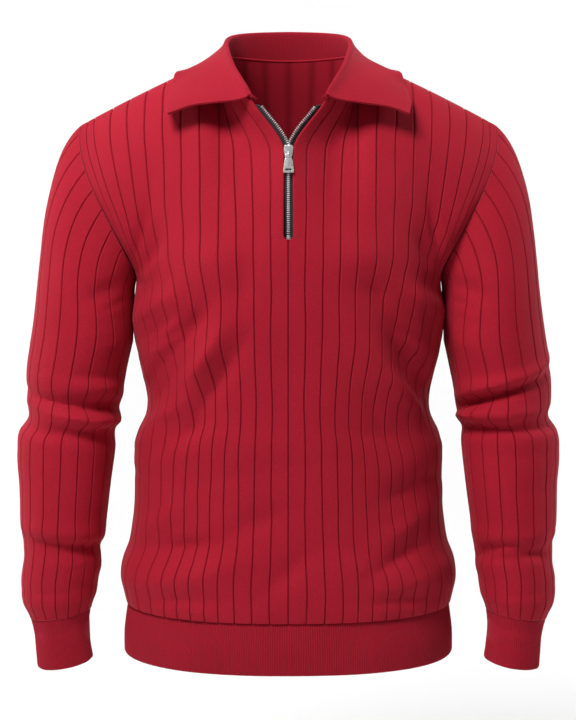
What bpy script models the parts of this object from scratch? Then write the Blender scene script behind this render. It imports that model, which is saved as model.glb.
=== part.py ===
"""A ribbed knit pullover with a collar and a quarter zip, hollow as it is when worn.

Metres, +Z up, the front faces -Y. The origin is the middle of the neck base, where
the wearer's neck and shoulders hold the garment up. Tables are in millimetres.
"""

import math

import bmesh
import bpy
import numpy as np
from mathutils import Euler, Vector
from mathutils.bvhtree import BVHTree

MM = 0.001

# The cloth
WALL = 2.5 * MM              # thickness of the rib knit
SEAM = 0.16 * MM             # half of the gap left at each seam
GROOVE_DEPTH = 1.0 * MM      # drop-needle groove between two ribs
GROOVE_HALF = 1.5 * MM       # half its width
SEAM_SHARE = 0.0007          # the same gap as a share of half a panel's width
SEAM_RISE = 0.0015           # and as a share of its height above the underarm
SEAM_THIN = 0.4              # the cloth is pressed thinner by this share at the armholes
PANEL_RIBS = 13              # ribs on each half of the front and of the back
SLEEVE_RIBS = 18             # ribs round each sleeve

# Heights and widths of the cut
HEM_Z = -594.0 * MM          # seam between the body and the hem band
UNDERARM_Z = -237.0 * MM
BAND_BOTTOM_Z = -651.0 * MM
SHOULDER_X = 228.0 * MM
SHOULDER_Z = -68.0 * MM
NECK_X = 74.0 * MM           # where the shoulder seam meets the neck seam
NECK_Z = 6.5 * MM
SEAM_Y = 5.0 * MM            # the shoulder seam lies a little behind the middle
NECK_SHARE = 0.31            # the neck seam's share of a panel's top edge
SLEEVE_TOP_Z = -305.0 * MM   # below this the sleeve is a plain tube
WRIST_Z = -607.0 * MM
CUFF_BOTTOM_Z = -664.0 * MM

# The zip
SLIT_END_Z = -187.0 * MM
SLIT_HALF = 4.8 * MM         # half of the opening beside the closed teeth
VEE_START_Z = -97.0 * MM    # the two sides part above the slider
VEE_TOP_X = 34.0 * MM
VEE_TOP_Z = -42.0 * MM
VEE_TOP_Y = -88.0 * MM
TAPE_SHARE = 0.036          # how far under the front it reaches, as a share of half a panel
TAPE_WALL = 1.2 * MM
TAPE_GAP = 1.1 * MM          # from the inside of the cloth to the tape
TAPE_MIDDLE = 0.35 * MM      # half of the gap between the two tapes
SLIDER_Z = -96.0 * MM
SLIDER_SIZE = (8.8 * MM, 2.0 * MM, 13.5 * MM)
BAIL_RADIUS = 2.9 * MM
BAIL_WIRE = 0.75 * MM
TEETH_ROOM = 1.3 * MM        # between the tape and the slider's plates
BACK_PLATE_WIDTH = 6.0 * MM
HINGE_DROP = -3.4 * MM       # the pull tab's hinge below the slider's middle
HINGE_OUT = 1.0 * MM         # and in front of its face
TAB_TOP_WIDTH = 7.6 * MM
TAB_WIDTH = 11.2 * MM
TAB_WALL = 1.5 * MM
TAB_REACH = 18.6 * MM        # from the hinge to the foot
TAB_NECK = 4.7 * MM
TAB_HOLE = (0.65 * MM, 3.95 * MM)   # top and bottom of the hole for the bail
TAB_HOLE_HALF = 1.25 * MM
TAB_SLOT = (7.2 * MM, 2.7 * MM)
TAB_FOOT = 1.6 * MM          # of metal below the slot
TAB_CORNER = 1.2 * MM

# Body sections below the underarm. z: height, half: half width, front and back: depths
# from the side seam, power: 2 is an ellipse, more is squarer
BODY_COLUMNS = ("z", "half", "front", "back", "power")
BODY_SECTIONS = [
    (-600, 180.0, 128, 104, 2.35),
    (-586, 183.5, 131, 107, 2.35),
    (-568, 187.5, 132, 108, 2.30),
    (-550, 185.5, 130, 107, 2.30),
    (-528, 178.0, 126, 104, 2.25),
    (-500, 173.0, 122, 100, 2.25),
    (-460, 171.0, 120, 98, 2.20),
    (-428, 171.0, 118, 96, 2.20),
    (-406, 168.0, 118, 96, 2.20),
    (-385, 159.0, 117, 97, 2.20),
    (-358, 157.0, 118, 100, 2.20),
    (-330, 162.5, 120, 106, 2.20),
    (-300, 170.0, 121, 111, 2.25),
    (-270, 169.0, 121, 115, 2.30),
    (-237, 167.0, 119, 117, 2.30),
    (-200, 168.0, 116, 117, 2.30),
]

# Left sleeve below the upper arm. x, y: middle, half: half width, deep: half depth
SLEEVE_COLUMNS = ("z", "x", "y", "half", "deep", "tilt")
SLEEVE_SECTIONS = [
    (-305, -229.0, 0, 56.5, 66, 0.00),
    (-340, -235.5, -1, 55.0, 63, 0.00),
    (-370, -238.5, -3, 52.5, 61, 0.00),
    (-385, -237.0, -4, 51.5, 60, 0.00),
    (-403, -245.0, -5, 54.0, 59, 0.01),
    (-425, -247.0, -6, 54.0, 58, 0.02),
    (-465, -248.5, -9, 50.5, 57, 0.05),
    (-505, -250.5, -12, 47.5, 54, 0.08),
    (-540, -251.0, -14, 43.5, 50, 0.11),
    (-565, -254.5, -15, 43.0, 48, 0.13),
    (-590, -255.0, -16, 40.5, 46, 0.15),
    (-607, -254.5, -17, 34.0, 40, 0.15),
    (-625, -253.5, -17, 30.5, 37, 0.15),
    (-645, -252.0, -18, 30.3, 37, 0.15),
    (-664, -250.0, -18, 31.0, 37, 0.15),
]

# Hem band
BAND_COLUMNS = ("z", "half", "front", "back", "power")
BAND_SECTIONS = [
    (-594, 179.5, 127.5, 103.5, 2.35),
    (-606, 181.0, 129, 105, 2.36),
    (-625, 183.5, 131, 107, 2.38),
    (-651, 184.5, 130, 107, 2.30),
]

# Folds pressed into a panel (depth below 0) or raised on it, as seen from that side.
# x, z: middle, angle: of its length above the x axis, long and wide: half sizes
FOLD_COLUMNS = ("x", "z", "angle", "long", "wide", "depth")
FRONT_FOLDS = [
    (-128, -322, 58, 110, 17, -5.0),
    (-96, -336, 62, 120, 15, 3.5),
    (-142, -262, 40, 48, 11, 5.0),
    (-140, -286, 35, 46, 11, -5.0),
    (-150, -214, 70, 46, 11, -6.5),
    (126, -318, 122, 110, 17, -5.0),
    (95, -340, 118, 112, 15, 3.0),
    (142, -258, 142, 48, 11, 5.0),
    (139, -283, 146, 46, 11, -4.5),
    (150, -212, 110, 46, 11, -6.5),
    (-120, -548, 6, 72, 14, 3.0),
    (-96, -573, 3, 90, 10, -2.5),
    (112, -540, 176, 76, 15, 3.0),
    (90, -572, 178, 86, 10, -2.5),
    (0, -402, 8, 110, 24, 1.5),
]
BACK_FOLDS = [
    (-118, -330, 56, 105, 18, -4.5),
    (-80, -350, 60, 95, 16, 3.0),
    (118, -324, 124, 105, 18, -4.5),
    (84, -352, 119, 95, 16, 3.0),
    (-142, -262, 44, 50, 12, 4.5),
    (142, -260, 136, 50, 12, 4.5),
    (-150, -206, 74, 44, 12, -5.0),
    (150, -204, 106, 44, 12, -5.0),
    (10, -395, 4, 120, 20, -3.5),
    (-8, -425, 176, 120, 18, 3.0),
    (-100, -556, 5, 80, 14, 3.0),
    (104, -552, 175, 80, 14, 3.0),
]

# Folds on a sleeve. turn: share of the way round, from the outer side over the front,
# z: height there, slant: rise in height for a quarter turn forward, long: half its share
# of the way round, wide: half height in mm
SLEEVE_FOLD_COLUMNS = ("turn", "z", "slant", "long", "wide", "depth")
LEFT_FOLDS = [
    (0.30, -340, 6, 0.20, 8, -2.6),
    (0.28, -372, -14, 0.42, 8, -5.5),
    (0.36, -388, -10, 0.34, 8, 3.5),
    (0.26, -402, -8, 0.40, 8, -4.5),
    (0.78, -384, 16, 0.32, 10, -4.0),
    (0.30, -532, -6, 0.42, 8, -3.5),
    (0.45, -556, 4, 0.30, 10, 2.5),
    (0.78, -545, 5, 0.34, 10, -3.0),
    (0.34, -246, 30, 0.14, 12, -4.0),
    (0.66, -250, -30, 0.14, 12, -4.0),
]
RIGHT_FOLDS = [
    (0.27, -346, -24, 0.32, 8, 3.0),
    (0.30, -361, -26, 0.38, 8, -5.5),
    (0.30, -380, -4, 0.34, 8, 3.5),
    (0.31, -397, -6, 0.38, 8, -4.5),
    (0.78, -392, -14, 0.32, 10, -4.0),
    (0.22, -536, -12, 0.40, 8, -3.5),
    (0.45, -552, -6, 0.30, 10, 2.5),
    (0.78, -548, -5, 0.34, 10, -3.0),
    (0.34, -244, 30, 0.14, 12, -4.0),
    (0.66, -248, -30, 0.14, 12, -4.0),
]

# Where the knit is drawn in, the outer rib lines lie nearer the middle. row: 0 hem, 1 underarm,
# 2 top edge, ribs: how far, in ribs
DRIFT_COLUMNS = ("row", "ribs")
RIB_DRIFT = [
    (0.00, 0.9),
    (0.17, 0.95),
    (0.38, 0.8),
    (0.52, 1.05),
    (0.82, 0.5),
    (0.96, 0.2),
    (1.10, -0.6),
    (1.30, -0.8),
    (1.60, -0.5),
    (2.00, 0.0),
]
DRIFT_START = 2 / 13         # share of half a panel where the lines start to move
DRIFT_FULL = 9 / 13

# Rows of points: heights of the body below the underarm, then shares of the way from
# there to the top edge
BODY_ROWS = (-594, -574, -550, -520, -478, -432, -406, -380, -350, -318, -288, -262, -237)
FRONT_TOP_ROWS = (0.20, 0.40, 0.56, 0.67, 0.76, 0.85, 0.93, 1.0)
BACK_TOP_ROWS = (0.18, 0.38, 0.58, 0.76, 0.89, 1.0)
CAP_ROWS = (0.0, 0.16, 0.36, 0.58, 0.80, 1.0)
SLEEVE_ROWS = (-340, -358, -372, -387, -402, -420, -465, -512, -532, -548, -572, -593, -607)

# Collar, left half from the front end to the middle of the back. The fold line is its
# highest edge, the leaf edge its outer one.
COLLAR_COLUMNS = ("share", "fold_x", "fold_y", "fold_z", "leaf_x", "leaf_y", "leaf_z")
COLLAR_SECTIONS = [
    (0.00, -41, -90, -36, -128, -74, -56),
    (0.10, -46, -82, -26, -131, -56, -44),
    (0.24, -58, -58, -7, -126, -26, -26),
    (0.40, -66, -24, 12, -116, 10, -12),
    (0.56, -68, 14, 25, -105, 44, -8),
    (0.72, -58, 46, 32, -88, 76, -8),
    (0.86, -34, 63, 35, -50, 96, -8),
    (1.00, 0, 68, 36, 0, 103, -8),
]
COLLAR_STATIONS = (0, 0.05, 0.1, 0.17, 0.25, 0.33, 0.41, 0.5, 0.59, 0.68, 0.76, 0.84, 0.92, 1.0)
COLLAR_WALL = 2.4 * MM
FOLD_RADIUS = 2.3 * MM
FIRST_LEAF_POINT = 6         # of the collar's profile, past the fold
COLLAR_LIFT = 2.0 * MM       # least gap between the collar and the cloth under it

RED = (0.42, 0.012, 0.035)
BLACK = (0.012, 0.012, 0.013)
STEEL = (0.62, 0.61, 0.60)


def column(rows, columns, name):
    return np.array([row[columns.index(name)] for row in rows], float)


def smooth(x, xs, ys):
    """A soft curve through the points (xs, ys), read at x."""
    order = np.argsort(xs)
    xs, ys = np.asarray(xs, float)[order], np.asarray(ys, float)[order]
    slope = np.gradient(ys, xs)
    i = np.clip(np.searchsorted(xs, x) - 1, 0, len(xs) - 2)
    step = xs[i + 1] - xs[i]
    t = np.clip((x - xs[i]) / step, 0, 1)
    return (
        (1 + 2 * t) * (1 - t) ** 2 * ys[i]
        + t * (1 - t) ** 2 * step * slope[i]
        + t * t * (3 - 2 * t) * ys[i + 1]
        + t * t * (t - 1) * step * slope[i + 1]
    )


def ease(low, high, x):
    t = np.clip((x - low) / (high - low), 0, 1)
    return t * t * (3 - 2 * t)


def bezier(a, b, c, d, t):
    t = np.asarray(t)[..., None]
    return (1 - t) ** 3 * a + 3 * t * (1 - t) ** 2 * b + 3 * t * t * (1 - t) * c + t**3 * d


def even(points, shares):
    """Points at the given shares of the length of a polyline."""
    run = np.concatenate([[0], np.cumsum(np.linalg.norm(np.diff(points, axis=0), axis=1))])
    at = np.asarray(shares) * run[-1]
    return np.stack([np.interp(at, run, points[:, k]) for k in range(3)], axis=-1)


# ---- the body


def body_ring(side, us, z, sections=BODY_SECTIONS):
    """Half a section at height z, from the left side seam (u = -1) to the right (u = 1)."""
    zs = column(sections, BODY_COLUMNS, "z")
    half = smooth(z / MM, zs, column(sections, BODY_COLUMNS, "half")) * MM
    name = "front" if side < 0 else "back"
    deep = smooth(z / MM, zs, column(sections, BODY_COLUMNS, name)) * MM
    power = smooth(z / MM, zs, column(sections, BODY_COLUMNS, "power"))
    angle = np.linspace(0, math.pi, 721)
    c, s = np.cos(angle), np.sin(angle)
    x = -half * np.sign(c) * np.abs(c) ** (2 / power)
    y = side * deep * np.abs(s) ** (2 / power)
    ring = np.stack([x, y, np.full_like(x, z)], axis=-1)
    return even(ring, (np.asarray(us) + 1) / 2)


def top_edge(side, us):
    """Right half of a panel's neck seam, then its shoulder seam, out to the shoulder point."""
    share = np.interp(us, (0, 4 / 13, 11 / 13, 1), (0, NECK_SHARE, 0.93, 1))
    neck_point = np.array([NECK_X, SEAM_Y, NECK_Z])
    if side < 0:
        start = np.array([VEE_TOP_X, VEE_TOP_Y, VEE_TOP_Z])
        second = np.array([56, -76, -33]) * MM
        third = np.array([76, -36, -4]) * MM
    else:
        start = np.array([0, 66, 3]) * MM
        second = np.array([38, 66, 3]) * MM
        third = np.array([72, 44, 8]) * MM
    neck = bezier(start, second, third, neck_point, np.clip(share / NECK_SHARE, 0, 1))
    across = np.clip((share - NECK_SHARE) / (1 - NECK_SHARE), 0, 1)
    x = NECK_X + across * (SHOULDER_X - NECK_X)
    z = NECK_Z - (NECK_Z - SHOULDER_Z) * (0.87 * across + 0.13 * across**2)
    seam = np.stack([x, np.full_like(x, SEAM_Y), z], axis=-1)
    return np.where((share < NECK_SHARE)[:, None], neck, seam)


def panel_base(side, us, v):
    """A row of a panel's right half, from its middle (u = 0) to the side (u = 1).

    v runs 0 to 1 from the hem to the underarm and 1 to 2 from there to the top edge.
    """
    us = np.asarray(us, float)
    if v <= 1:
        return body_ring(side, us, HEM_Z + v * (UNDERARM_Z - HEM_Z))
    step = 1 * MM
    start = body_ring(side, us, UNDERARM_Z)
    rise = (start - body_ring(side, us, UNDERARM_Z - step)) / step
    end = top_edge(side, us)
    edge = ease(0.62, 1.0, us)[:, None]
    neck = (1 - ease(0.16, 0.42, us))[:, None]
    up = rise * (end[:, 2:3] - start[:, 2:3]) * 0.42
    under = np.array([-6, 74 * side, 24]) * MM
    over = np.array([0, 62 * side, -6]) * MM
    straight = np.array([0, 10 * side, -60]) * MM
    cap = np.array([8, (50 if side < 0 else 56) * side, -52]) * MM
    second = start + up * (1 - edge) + under * edge
    third = end + (over * (1 - neck) + straight * neck) * (1 - edge) + cap * edge
    points = bezier(start, second, third, end, np.full(len(us), v - 1))
    if side < 0:
        height = (points[:, 2] - VEE_START_Z) / (VEE_TOP_Z - VEE_START_Z)
        vee = start[:, 0] + (end[:, 0] - start[:, 0]) * ease(0, 1.25, height) / ease(0, 1.25, 1)
        points[:, 0] += (vee - points[:, 0]) * (1 - ease(0.0, 0.5, us))
    return points


def folds(side, points):
    """How far the panel's folds move its points outwards."""
    table = FRONT_FOLDS if side < 0 else BACK_FOLDS
    total = np.zeros(len(points))
    for x, z, angle, long, wide, depth in table:
        a = math.radians(angle)
        dx, dz = points[:, 0] - x * MM, points[:, 2] - z * MM
        along = (dx * math.cos(a) + dz * math.sin(a)) / (long * MM)
        across = (dz * math.cos(a) - dx * math.sin(a)) / (wide * MM)
        total += depth * MM * np.exp(-across**2 - along**2 * 2)
    edge = ease(0, 14 * MM, points[:, 2] - HEM_Z)
    return total * edge


def panel_row(side, half, shares, v, drop=0.0):
    """A row of the front or the back on one half (-1 left, 1 right), drop below the rib tops."""
    step = 0.004
    us = np.clip(shares, 0, 1 - SEAM_SHARE)
    v = min(v, 2 - SEAM_RISE)
    points = panel_base(side, us, v)
    outward, inward = np.minimum(us + step, 1), np.maximum(us - step, 0)
    across = panel_base(side, outward, v) - panel_base(side, inward, v)
    up = panel_base(side, us, min(v + step, 2)) - panel_base(side, us, max(v - step, 0))
    normal = np.cross(across, up) * -side
    shoulder = ease(1.9, 2.0, v) * ease(0.24, 0.30, us)
    normal /= np.linalg.norm(normal, axis=1)[:, None]
    normal[:, 1] *= 1 - shoulder
    normal /= np.linalg.norm(normal, axis=1)[:, None]
    armhole_seam = ease(0.86, 1.0, us) * ease(0.97, 1.0, v)
    drop = drop * (1 - SEAM_THIN * armhole_seam)
    points[:, 0] *= half
    normal[:, 0] *= half
    still = (1 - ease(0.93, 1.0, us) * ease(0.9, 1.0, v)) * (1 - ease(1.9, 2.0, v))
    return points + normal * (folds(side, points) * still - drop)[:, None]


def slit_shift(shares):
    """Sideways room for the zip beside the front's centre line."""
    return SLIT_HALF * np.clip(1 - shares * PANEL_RIBS, 0, 1)


def rib_shares(ribs, half):
    """Shares across half a panel, and which of them are groove bottoms."""
    groove = GROOVE_HALF / half
    shares, low = [0.0, groove], [True, False]
    for rib in range(1, ribs):
        middle = rib / ribs
        shares += [middle - groove, middle, middle + groove]
        low += [False, True, False]
    return np.array(shares + [1.0]), np.array(low + [False])


def drifted(shares, v):
    """The shares across half a panel, moved with the rib lines at this row."""
    rows = column(RIB_DRIFT, DRIFT_COLUMNS, "row")
    amount = np.interp(v, rows, column(RIB_DRIFT, DRIFT_COLUMNS, "ribs")) / PANEL_RIBS
    fade = ease(DRIFT_START, DRIFT_FULL, shares) * (1 - ease(DRIFT_FULL, 1, shares))
    return shares - amount * fade


def panel_rows(side):
    rows = [(z * MM - HEM_Z) / (UNDERARM_Z - HEM_Z) for z in BODY_ROWS]
    if side > 0:
        return rows + [1 + t for t in BACK_TOP_ROWS]
    return sorted(rows + [1 + t for t in FRONT_TOP_ROWS] + slit_rows())


class Mesh:
    """Points and faces gathered for one piece."""

    def __init__(self):
        self.points = []
        self.faces = []

    def row(self, points):
        first = len(self.points)
        self.points += [tuple(p) for p in points]
        return list(range(first, len(self.points)))

    def grid(self, rows):
        for low, high in zip(rows, rows[1:]):
            for k in range(len(low) - 1):
                self.faces.append((low[k], low[k + 1], high[k + 1], high[k]))

    def bridge(self, one, one_shares, two, two_shares):
        """Joins two runs of points, which may have unlike counts."""
        i = j = 0
        while i < len(one) - 1 or j < len(two) - 1:
            next_one = one_shares[i + 1] if i < len(one) - 1 else math.inf
            next_two = two_shares[j + 1] if j < len(two) - 1 else math.inf
            if next_one <= next_two:
                self.faces.append((one[i], one[i + 1], two[j]))
                i += 1
            else:
                self.faces.append((one[i], two[j + 1], two[j]))
                j += 1

    def build(self, name, material):
        data = bpy.data.meshes.new(name)
        data.from_pydata(self.points, [], self.faces)
        edit = bmesh.new()
        edit.from_mesh(data)
        bmesh.ops.remove_doubles(edit, verts=edit.verts, dist=1e-7)
        bmesh.ops.triangulate(edit, faces=edit.faces)
        bmesh.ops.recalc_face_normals(edit, faces=edit.faces)
        edit.to_mesh(data)
        edit.free()
        data.materials.append(material)
        data.shade_smooth()
        data.set_sharp_from_angle(angle=math.radians(35))
        made = bpy.data.objects.new(name, data)
        PARTS.objects.link(made)
        return made


def build_panel(name, side, material):
    """Front or back: two halves that meet at the centre line, the front's cut for the zip."""
    mesh = Mesh()
    fine, low = rib_shares(PANEL_RIBS, 242 * MM)
    coarse = np.linspace(0, 1, PANEL_RIBS + 1)
    rows = panel_rows(side)
    for sign in (-1, 1):
        outer, inner = [], []
        open_rows = []
        for v in rows:
            across, inside_across = drifted(fine, v), drifted(coarse, v)
            top = panel_row(side, sign, across, v)
            cut = panel_row(side, sign, across, v, GROOVE_DEPTH)
            points = np.where(low[:, None], cut, top)
            inside = panel_row(side, sign, inside_across, v, WALL)
            is_open = side < 0 and points[0, 2] > SLIT_END_Z
            if is_open:
                points[0] = top[0]
                points[:, 0] += sign * slit_shift(fine)
                inside[:, 0] += sign * slit_shift(coarse)
            else:
                points[0, 0] = 0
                inside[0, 0] = 0
            outer.append(mesh.row(points))
            inner.append(mesh.row(inside))
            open_rows.append(is_open)
        mesh.grid(outer)
        mesh.grid(inner)
        mesh.bridge(outer[0], fine, inner[0], coarse)
        mesh.bridge(outer[-1], fine, inner[-1], coarse)
        for k in range(len(rows) - 1):
            mesh.faces.append((outer[k][-1], outer[k + 1][-1], inner[k + 1][-1], inner[k][-1]))
            if open_rows[k + 1]:
                mesh.faces.append((outer[k][0], outer[k + 1][0], inner[k + 1][0], inner[k][0]))
    return mesh.build(name, material)


def slit_rows():
    """Two close rows where the zip's slit ends, found by halving."""
    low, high = 1.0, 1.6
    for _ in range(40):
        middle = (low + high) / 2
        z = panel_row(-1, 1, np.array([0.0]), middle)[0, 2]
        low, high = (middle, high) if z < SLIT_END_Z else (low, middle)
    return [low - 1e-5, high + 0.004]


# ---- the sleeves


def armhole(count=240):
    """The armhole seam: from the shoulder point down the front and up the back."""
    rows = np.linspace(1.0, 2.0, count // 2)
    front = np.array([panel_base(-1, [1.0], v)[0] for v in rows[::-1]])
    back = np.array([panel_base(1, [1.0], v)[0] for v in rows[1:]])
    return np.vstack([front, back]) * (-1, 1, 1)


def sleeve_section(turns, z):
    """A ring of the sleeve's tube at height z, from its outer side over the front."""
    zs = column(SLEEVE_SECTIONS, SLEEVE_COLUMNS, "z")
    x, y, half, deep = (
        smooth(z / MM, zs, column(SLEEVE_SECTIONS, SLEEVE_COLUMNS, name)) * MM
        for name in ("x", "y", "half", "deep")
    )
    tilt = smooth(z / MM, zs, column(SLEEVE_SECTIONS, SLEEVE_COLUMNS, "tilt"))
    angle = np.linspace(0, 2 * math.pi, 361)
    ring = np.stack([-half * np.cos(angle), -deep * np.sin(angle), 0 * angle], axis=-1)
    points = even(ring, np.mod(turns, 1.0))
    points[:, 2] = z + tilt * points[:, 0]
    points[:, 0] += x
    points[:, 1] += y
    return points


ARMHOLE = []


def sleeve_base(turns, v):
    """A row of the sleeve: v runs 0 to 1 over the cap and 1 to 2 down the arm."""
    if v >= 1:
        return sleeve_section(turns, SLEEVE_TOP_Z + (v - 1) * (WRIST_Z - SLEEVE_TOP_Z))
    if not ARMHOLE:
        ARMHOLE.append(armhole())
    start = even(ARMHOLE[0], np.mod(turns, 1.0))
    end = sleeve_section(turns, SLEEVE_TOP_Z)
    angle = 2 * math.pi * np.asarray(turns)
    outer, under = (1 + np.cos(angle)) / 2, (1 - np.cos(angle)) / 2
    side = np.sin(angle)
    start = start + (under**3)[:, None] * np.array([-1.6, 0, -1.0]) * MM
    leave = np.stack([
        -46 * MM * outer - 4.5 * MM * under - 12 * MM * np.abs(side),
        -16 * MM * side,
        -38 * MM * outer - 18 * MM * under - 26 * MM * np.abs(side),
    ], axis=-1)
    arrive = np.stack([
        16 * MM * outer + 1 * MM * under, 0 * side, 84 * MM * outer + 28 * MM * under,
    ], axis=-1)
    return bezier(start, start + leave, end + arrive, end, np.full(len(angle), v))


def sleeve_folds(table, turns, z):
    total = np.zeros(len(turns))
    for turn, height, slant, long, wide, depth in table:
        away = np.mod(turns - turn + 0.5, 1.0) - 0.5
        across = (z / MM - height - slant * away * 4) / wide
        total += depth * MM * np.exp(-across**2 - (away / long) ** 2 * 3)
    return total


def sleeve_row(side, turns, v, drop=0.0):
    """A row of a sleeve, side -1 on the left and 1 on the right."""
    v = max(v, 0.004)
    step = 0.004
    points = sleeve_base(turns, v)
    across = sleeve_base(turns + step, v) - sleeve_base(turns - step, v)
    down = sleeve_base(turns, min(v + step, 2)) - sleeve_base(turns, max(v - step, 0))
    normal = np.cross(down, across)
    normal /= np.linalg.norm(normal, axis=1)[:, None] + 1e-12
    table = LEFT_FOLDS if side < 0 else RIGHT_FOLDS
    moved = sleeve_folds(table, np.mod(turns, 1.0), points[:, 2])
    moved *= ease(0, 0.5, v) * (1 - ease(1.93, 2.0, v))
    drop *= 1 - SEAM_THIN * (1 - ease(0, 0.12, v))
    points = points + normal * (moved - drop)[:, None]
    if side > 0:
        points[:, 0] *= -1
    return points


def tube_shares(ribs, girth):
    groove = GROOVE_HALF / girth
    shares, low = [], []
    for rib in range(ribs):
        middle = (rib + 0.5) / ribs
        shares += [middle - groove, middle, middle + groove]
        low += [False, True, False]
    return np.array(shares), np.array(low)


def build_tube(name, rows, outer_row, inner_row, fine, coarse, material):
    """A tube wall from rows of outer and inner points, open at both ends."""
    mesh = Mesh()
    outer, inner = [], []
    for v in rows:
        ring = mesh.row(outer_row(v))
        outer.append(ring + ring[:1])
        ring = mesh.row(inner_row(v))
        inner.append(ring + ring[:1])
    mesh.grid(outer)
    mesh.grid(inner)
    fine_run = np.append(fine, fine[0] + 1)
    coarse_run = np.append(coarse, coarse[0] + 1)
    for k in (0, -1):
        mesh.bridge(outer[k], fine_run, inner[k], coarse_run)
    return mesh.build(name, material)


def build_sleeve(name, side, material):
    fine, low = tube_shares(SLEEVE_RIBS, 360 * MM)
    coarse = np.arange(SLEEVE_RIBS) / SLEEVE_RIBS
    arm = WRIST_Z - SLEEVE_TOP_Z
    rows = list(CAP_ROWS) + [1 + (z * MM - SLEEVE_TOP_Z) / arm for z in SLEEVE_ROWS]

    def outer_row(v):
        top = sleeve_row(side, fine, v)
        cut = sleeve_row(side, fine, v, GROOVE_DEPTH)
        return np.where(low[:, None], cut, top)

    def inner_row(v):
        return sleeve_row(side, coarse, v, WALL)

    return build_tube(name, rows, outer_row, inner_row, fine, coarse, material)


def cuff_row(side, turns, z, drop=0.0):
    step = 1 * MM
    points = sleeve_section(turns, z)
    across = sleeve_section(turns + 0.004, z) - sleeve_section(turns - 0.004, z)
    down = sleeve_section(turns, z - step) - sleeve_section(turns, z + step)
    normal = np.cross(down, across)
    normal /= np.linalg.norm(normal, axis=1)[:, None]
    points = points - normal * drop
    if side > 0:
        points[:, 0] *= -1
    return points


def build_cuff(name, side, material):
    turns = np.arange(28) / 28
    heights = np.array([WRIST_Z - 2 * SEAM, -618 * MM, -640 * MM, CUFF_BOTTOM_Z])

    def outer_row(z):
        return cuff_row(side, turns, z)

    def inner_row(z):
        return cuff_row(side, turns, z, WALL)

    return build_tube(name, heights, outer_row, inner_row, turns, turns, material)


# ---- the hem band


def band_ring(turns, z, drop=0.0):
    """The whole hem band at height z, dipping a little at the front."""
    turns = np.mod(turns, 1.0)
    front = turns < 0.5
    u = np.where(front, turns * 4 - 1, 3 - turns * 4)
    one = body_ring(-1, np.clip(u, -1, 1), z, BAND_SECTIONS)
    two = body_ring(1, np.clip(u, -1, 1), z, BAND_SECTIONS)
    ring = np.where(front[:, None], one, two)
    out = ring * (1, 1, 0)
    out /= np.linalg.norm(out, axis=1)[:, None]
    return ring - out * drop


def build_band(name, material):
    turns = np.arange(56) / 56
    heights = [HEM_Z - 2 * SEAM, -612 * MM, BAND_BOTTOM_Z]

    def outer_row(z):
        return band_ring(turns, z)

    def inner_row(z):
        return band_ring(turns, z, WALL)

    return build_tube(name, heights, outer_row, inner_row, turns, turns, material)


# ---- the collar


def neck_seam(shares):
    """The left half of the neck seam, from the top of the zip to the middle of the back."""
    us = np.linspace(0, 4 / 13, 60)
    seam = np.vstack([top_edge(-1, us), top_edge(1, us)[-2::-1]])
    return even(seam * (-1, 1, 1), shares)


def collar_line(shares, name):
    known = column(COLLAR_SECTIONS, COLLAR_COLUMNS, "share")
    return np.stack([
        smooth(shares, known, column(COLLAR_SECTIONS, COLLAR_COLUMNS, f"{name}_{axis}")) * MM
        for axis in "xyz"
    ], axis=-1)


def collar_profile(base, fold, leaf):
    """Up the stand, round the fold and down the leaf, through the middle of the cloth."""
    up = np.array([0.0, 0.0, 1.0])
    out = (leaf - fold) * (1, 1, 0)
    out /= np.linalg.norm(out)
    turn = FOLD_RADIUS
    centre = fold - up * turn
    first = base + up * (COLLAR_WALL * 0.5 + 2 * SEAM) - out * COLLAR_WALL * 0.5
    points = [first, first + (centre - out * turn - first) * 0.55]
    for angle in (180, 120, 60, 10):
        a = math.radians(angle)
        points.append(centre + out * turn * math.cos(a) + up * turn * math.sin(a))
    start = points[-1]
    fall = np.linalg.norm(leaf - start)
    second = start + (out * 0.35 - up * 0.2) * fall * 0.5
    third = leaf + up * fall * 0.16 - out * fall * 0.25
    for t in (0.2, 0.45, 0.72, 1.0):
        points.append(bezier(start, second, third, leaf, np.array([t]))[0])
    return points


def cloth_tree(objects):
    points, faces = [], []
    for made in objects:
        first = len(points)
        points += [v.co.copy() for v in made.data.vertices]
        faces += [tuple(first + i for i in p.vertices) for p in made.data.polygons]
    return BVHTree.FromPolygons(points, faces)


def lift_off(tree, point, least):
    """Moves a point out until it is this far from the cloth below it."""
    for _ in range(4):
        near, normal, _, distance = tree.find_nearest(Vector(point))
        away = Vector(point) - near
        outside = away.dot(normal) >= 0
        if outside and distance >= least:
            break
        push = away.normalized() if outside and distance > 1e-6 else normal
        point = np.array(near + push * (least * 1.02))
    return point


def lift_between(tree, one, i, two, j, least):
    """Lifts two points by what the middle of the line between them needs."""
    middle = (one[i] + two[j]) / 2
    lift = lift_off(tree, middle, least) - middle
    one[i], two[j] = one[i] + lift, two[j] + lift


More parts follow.
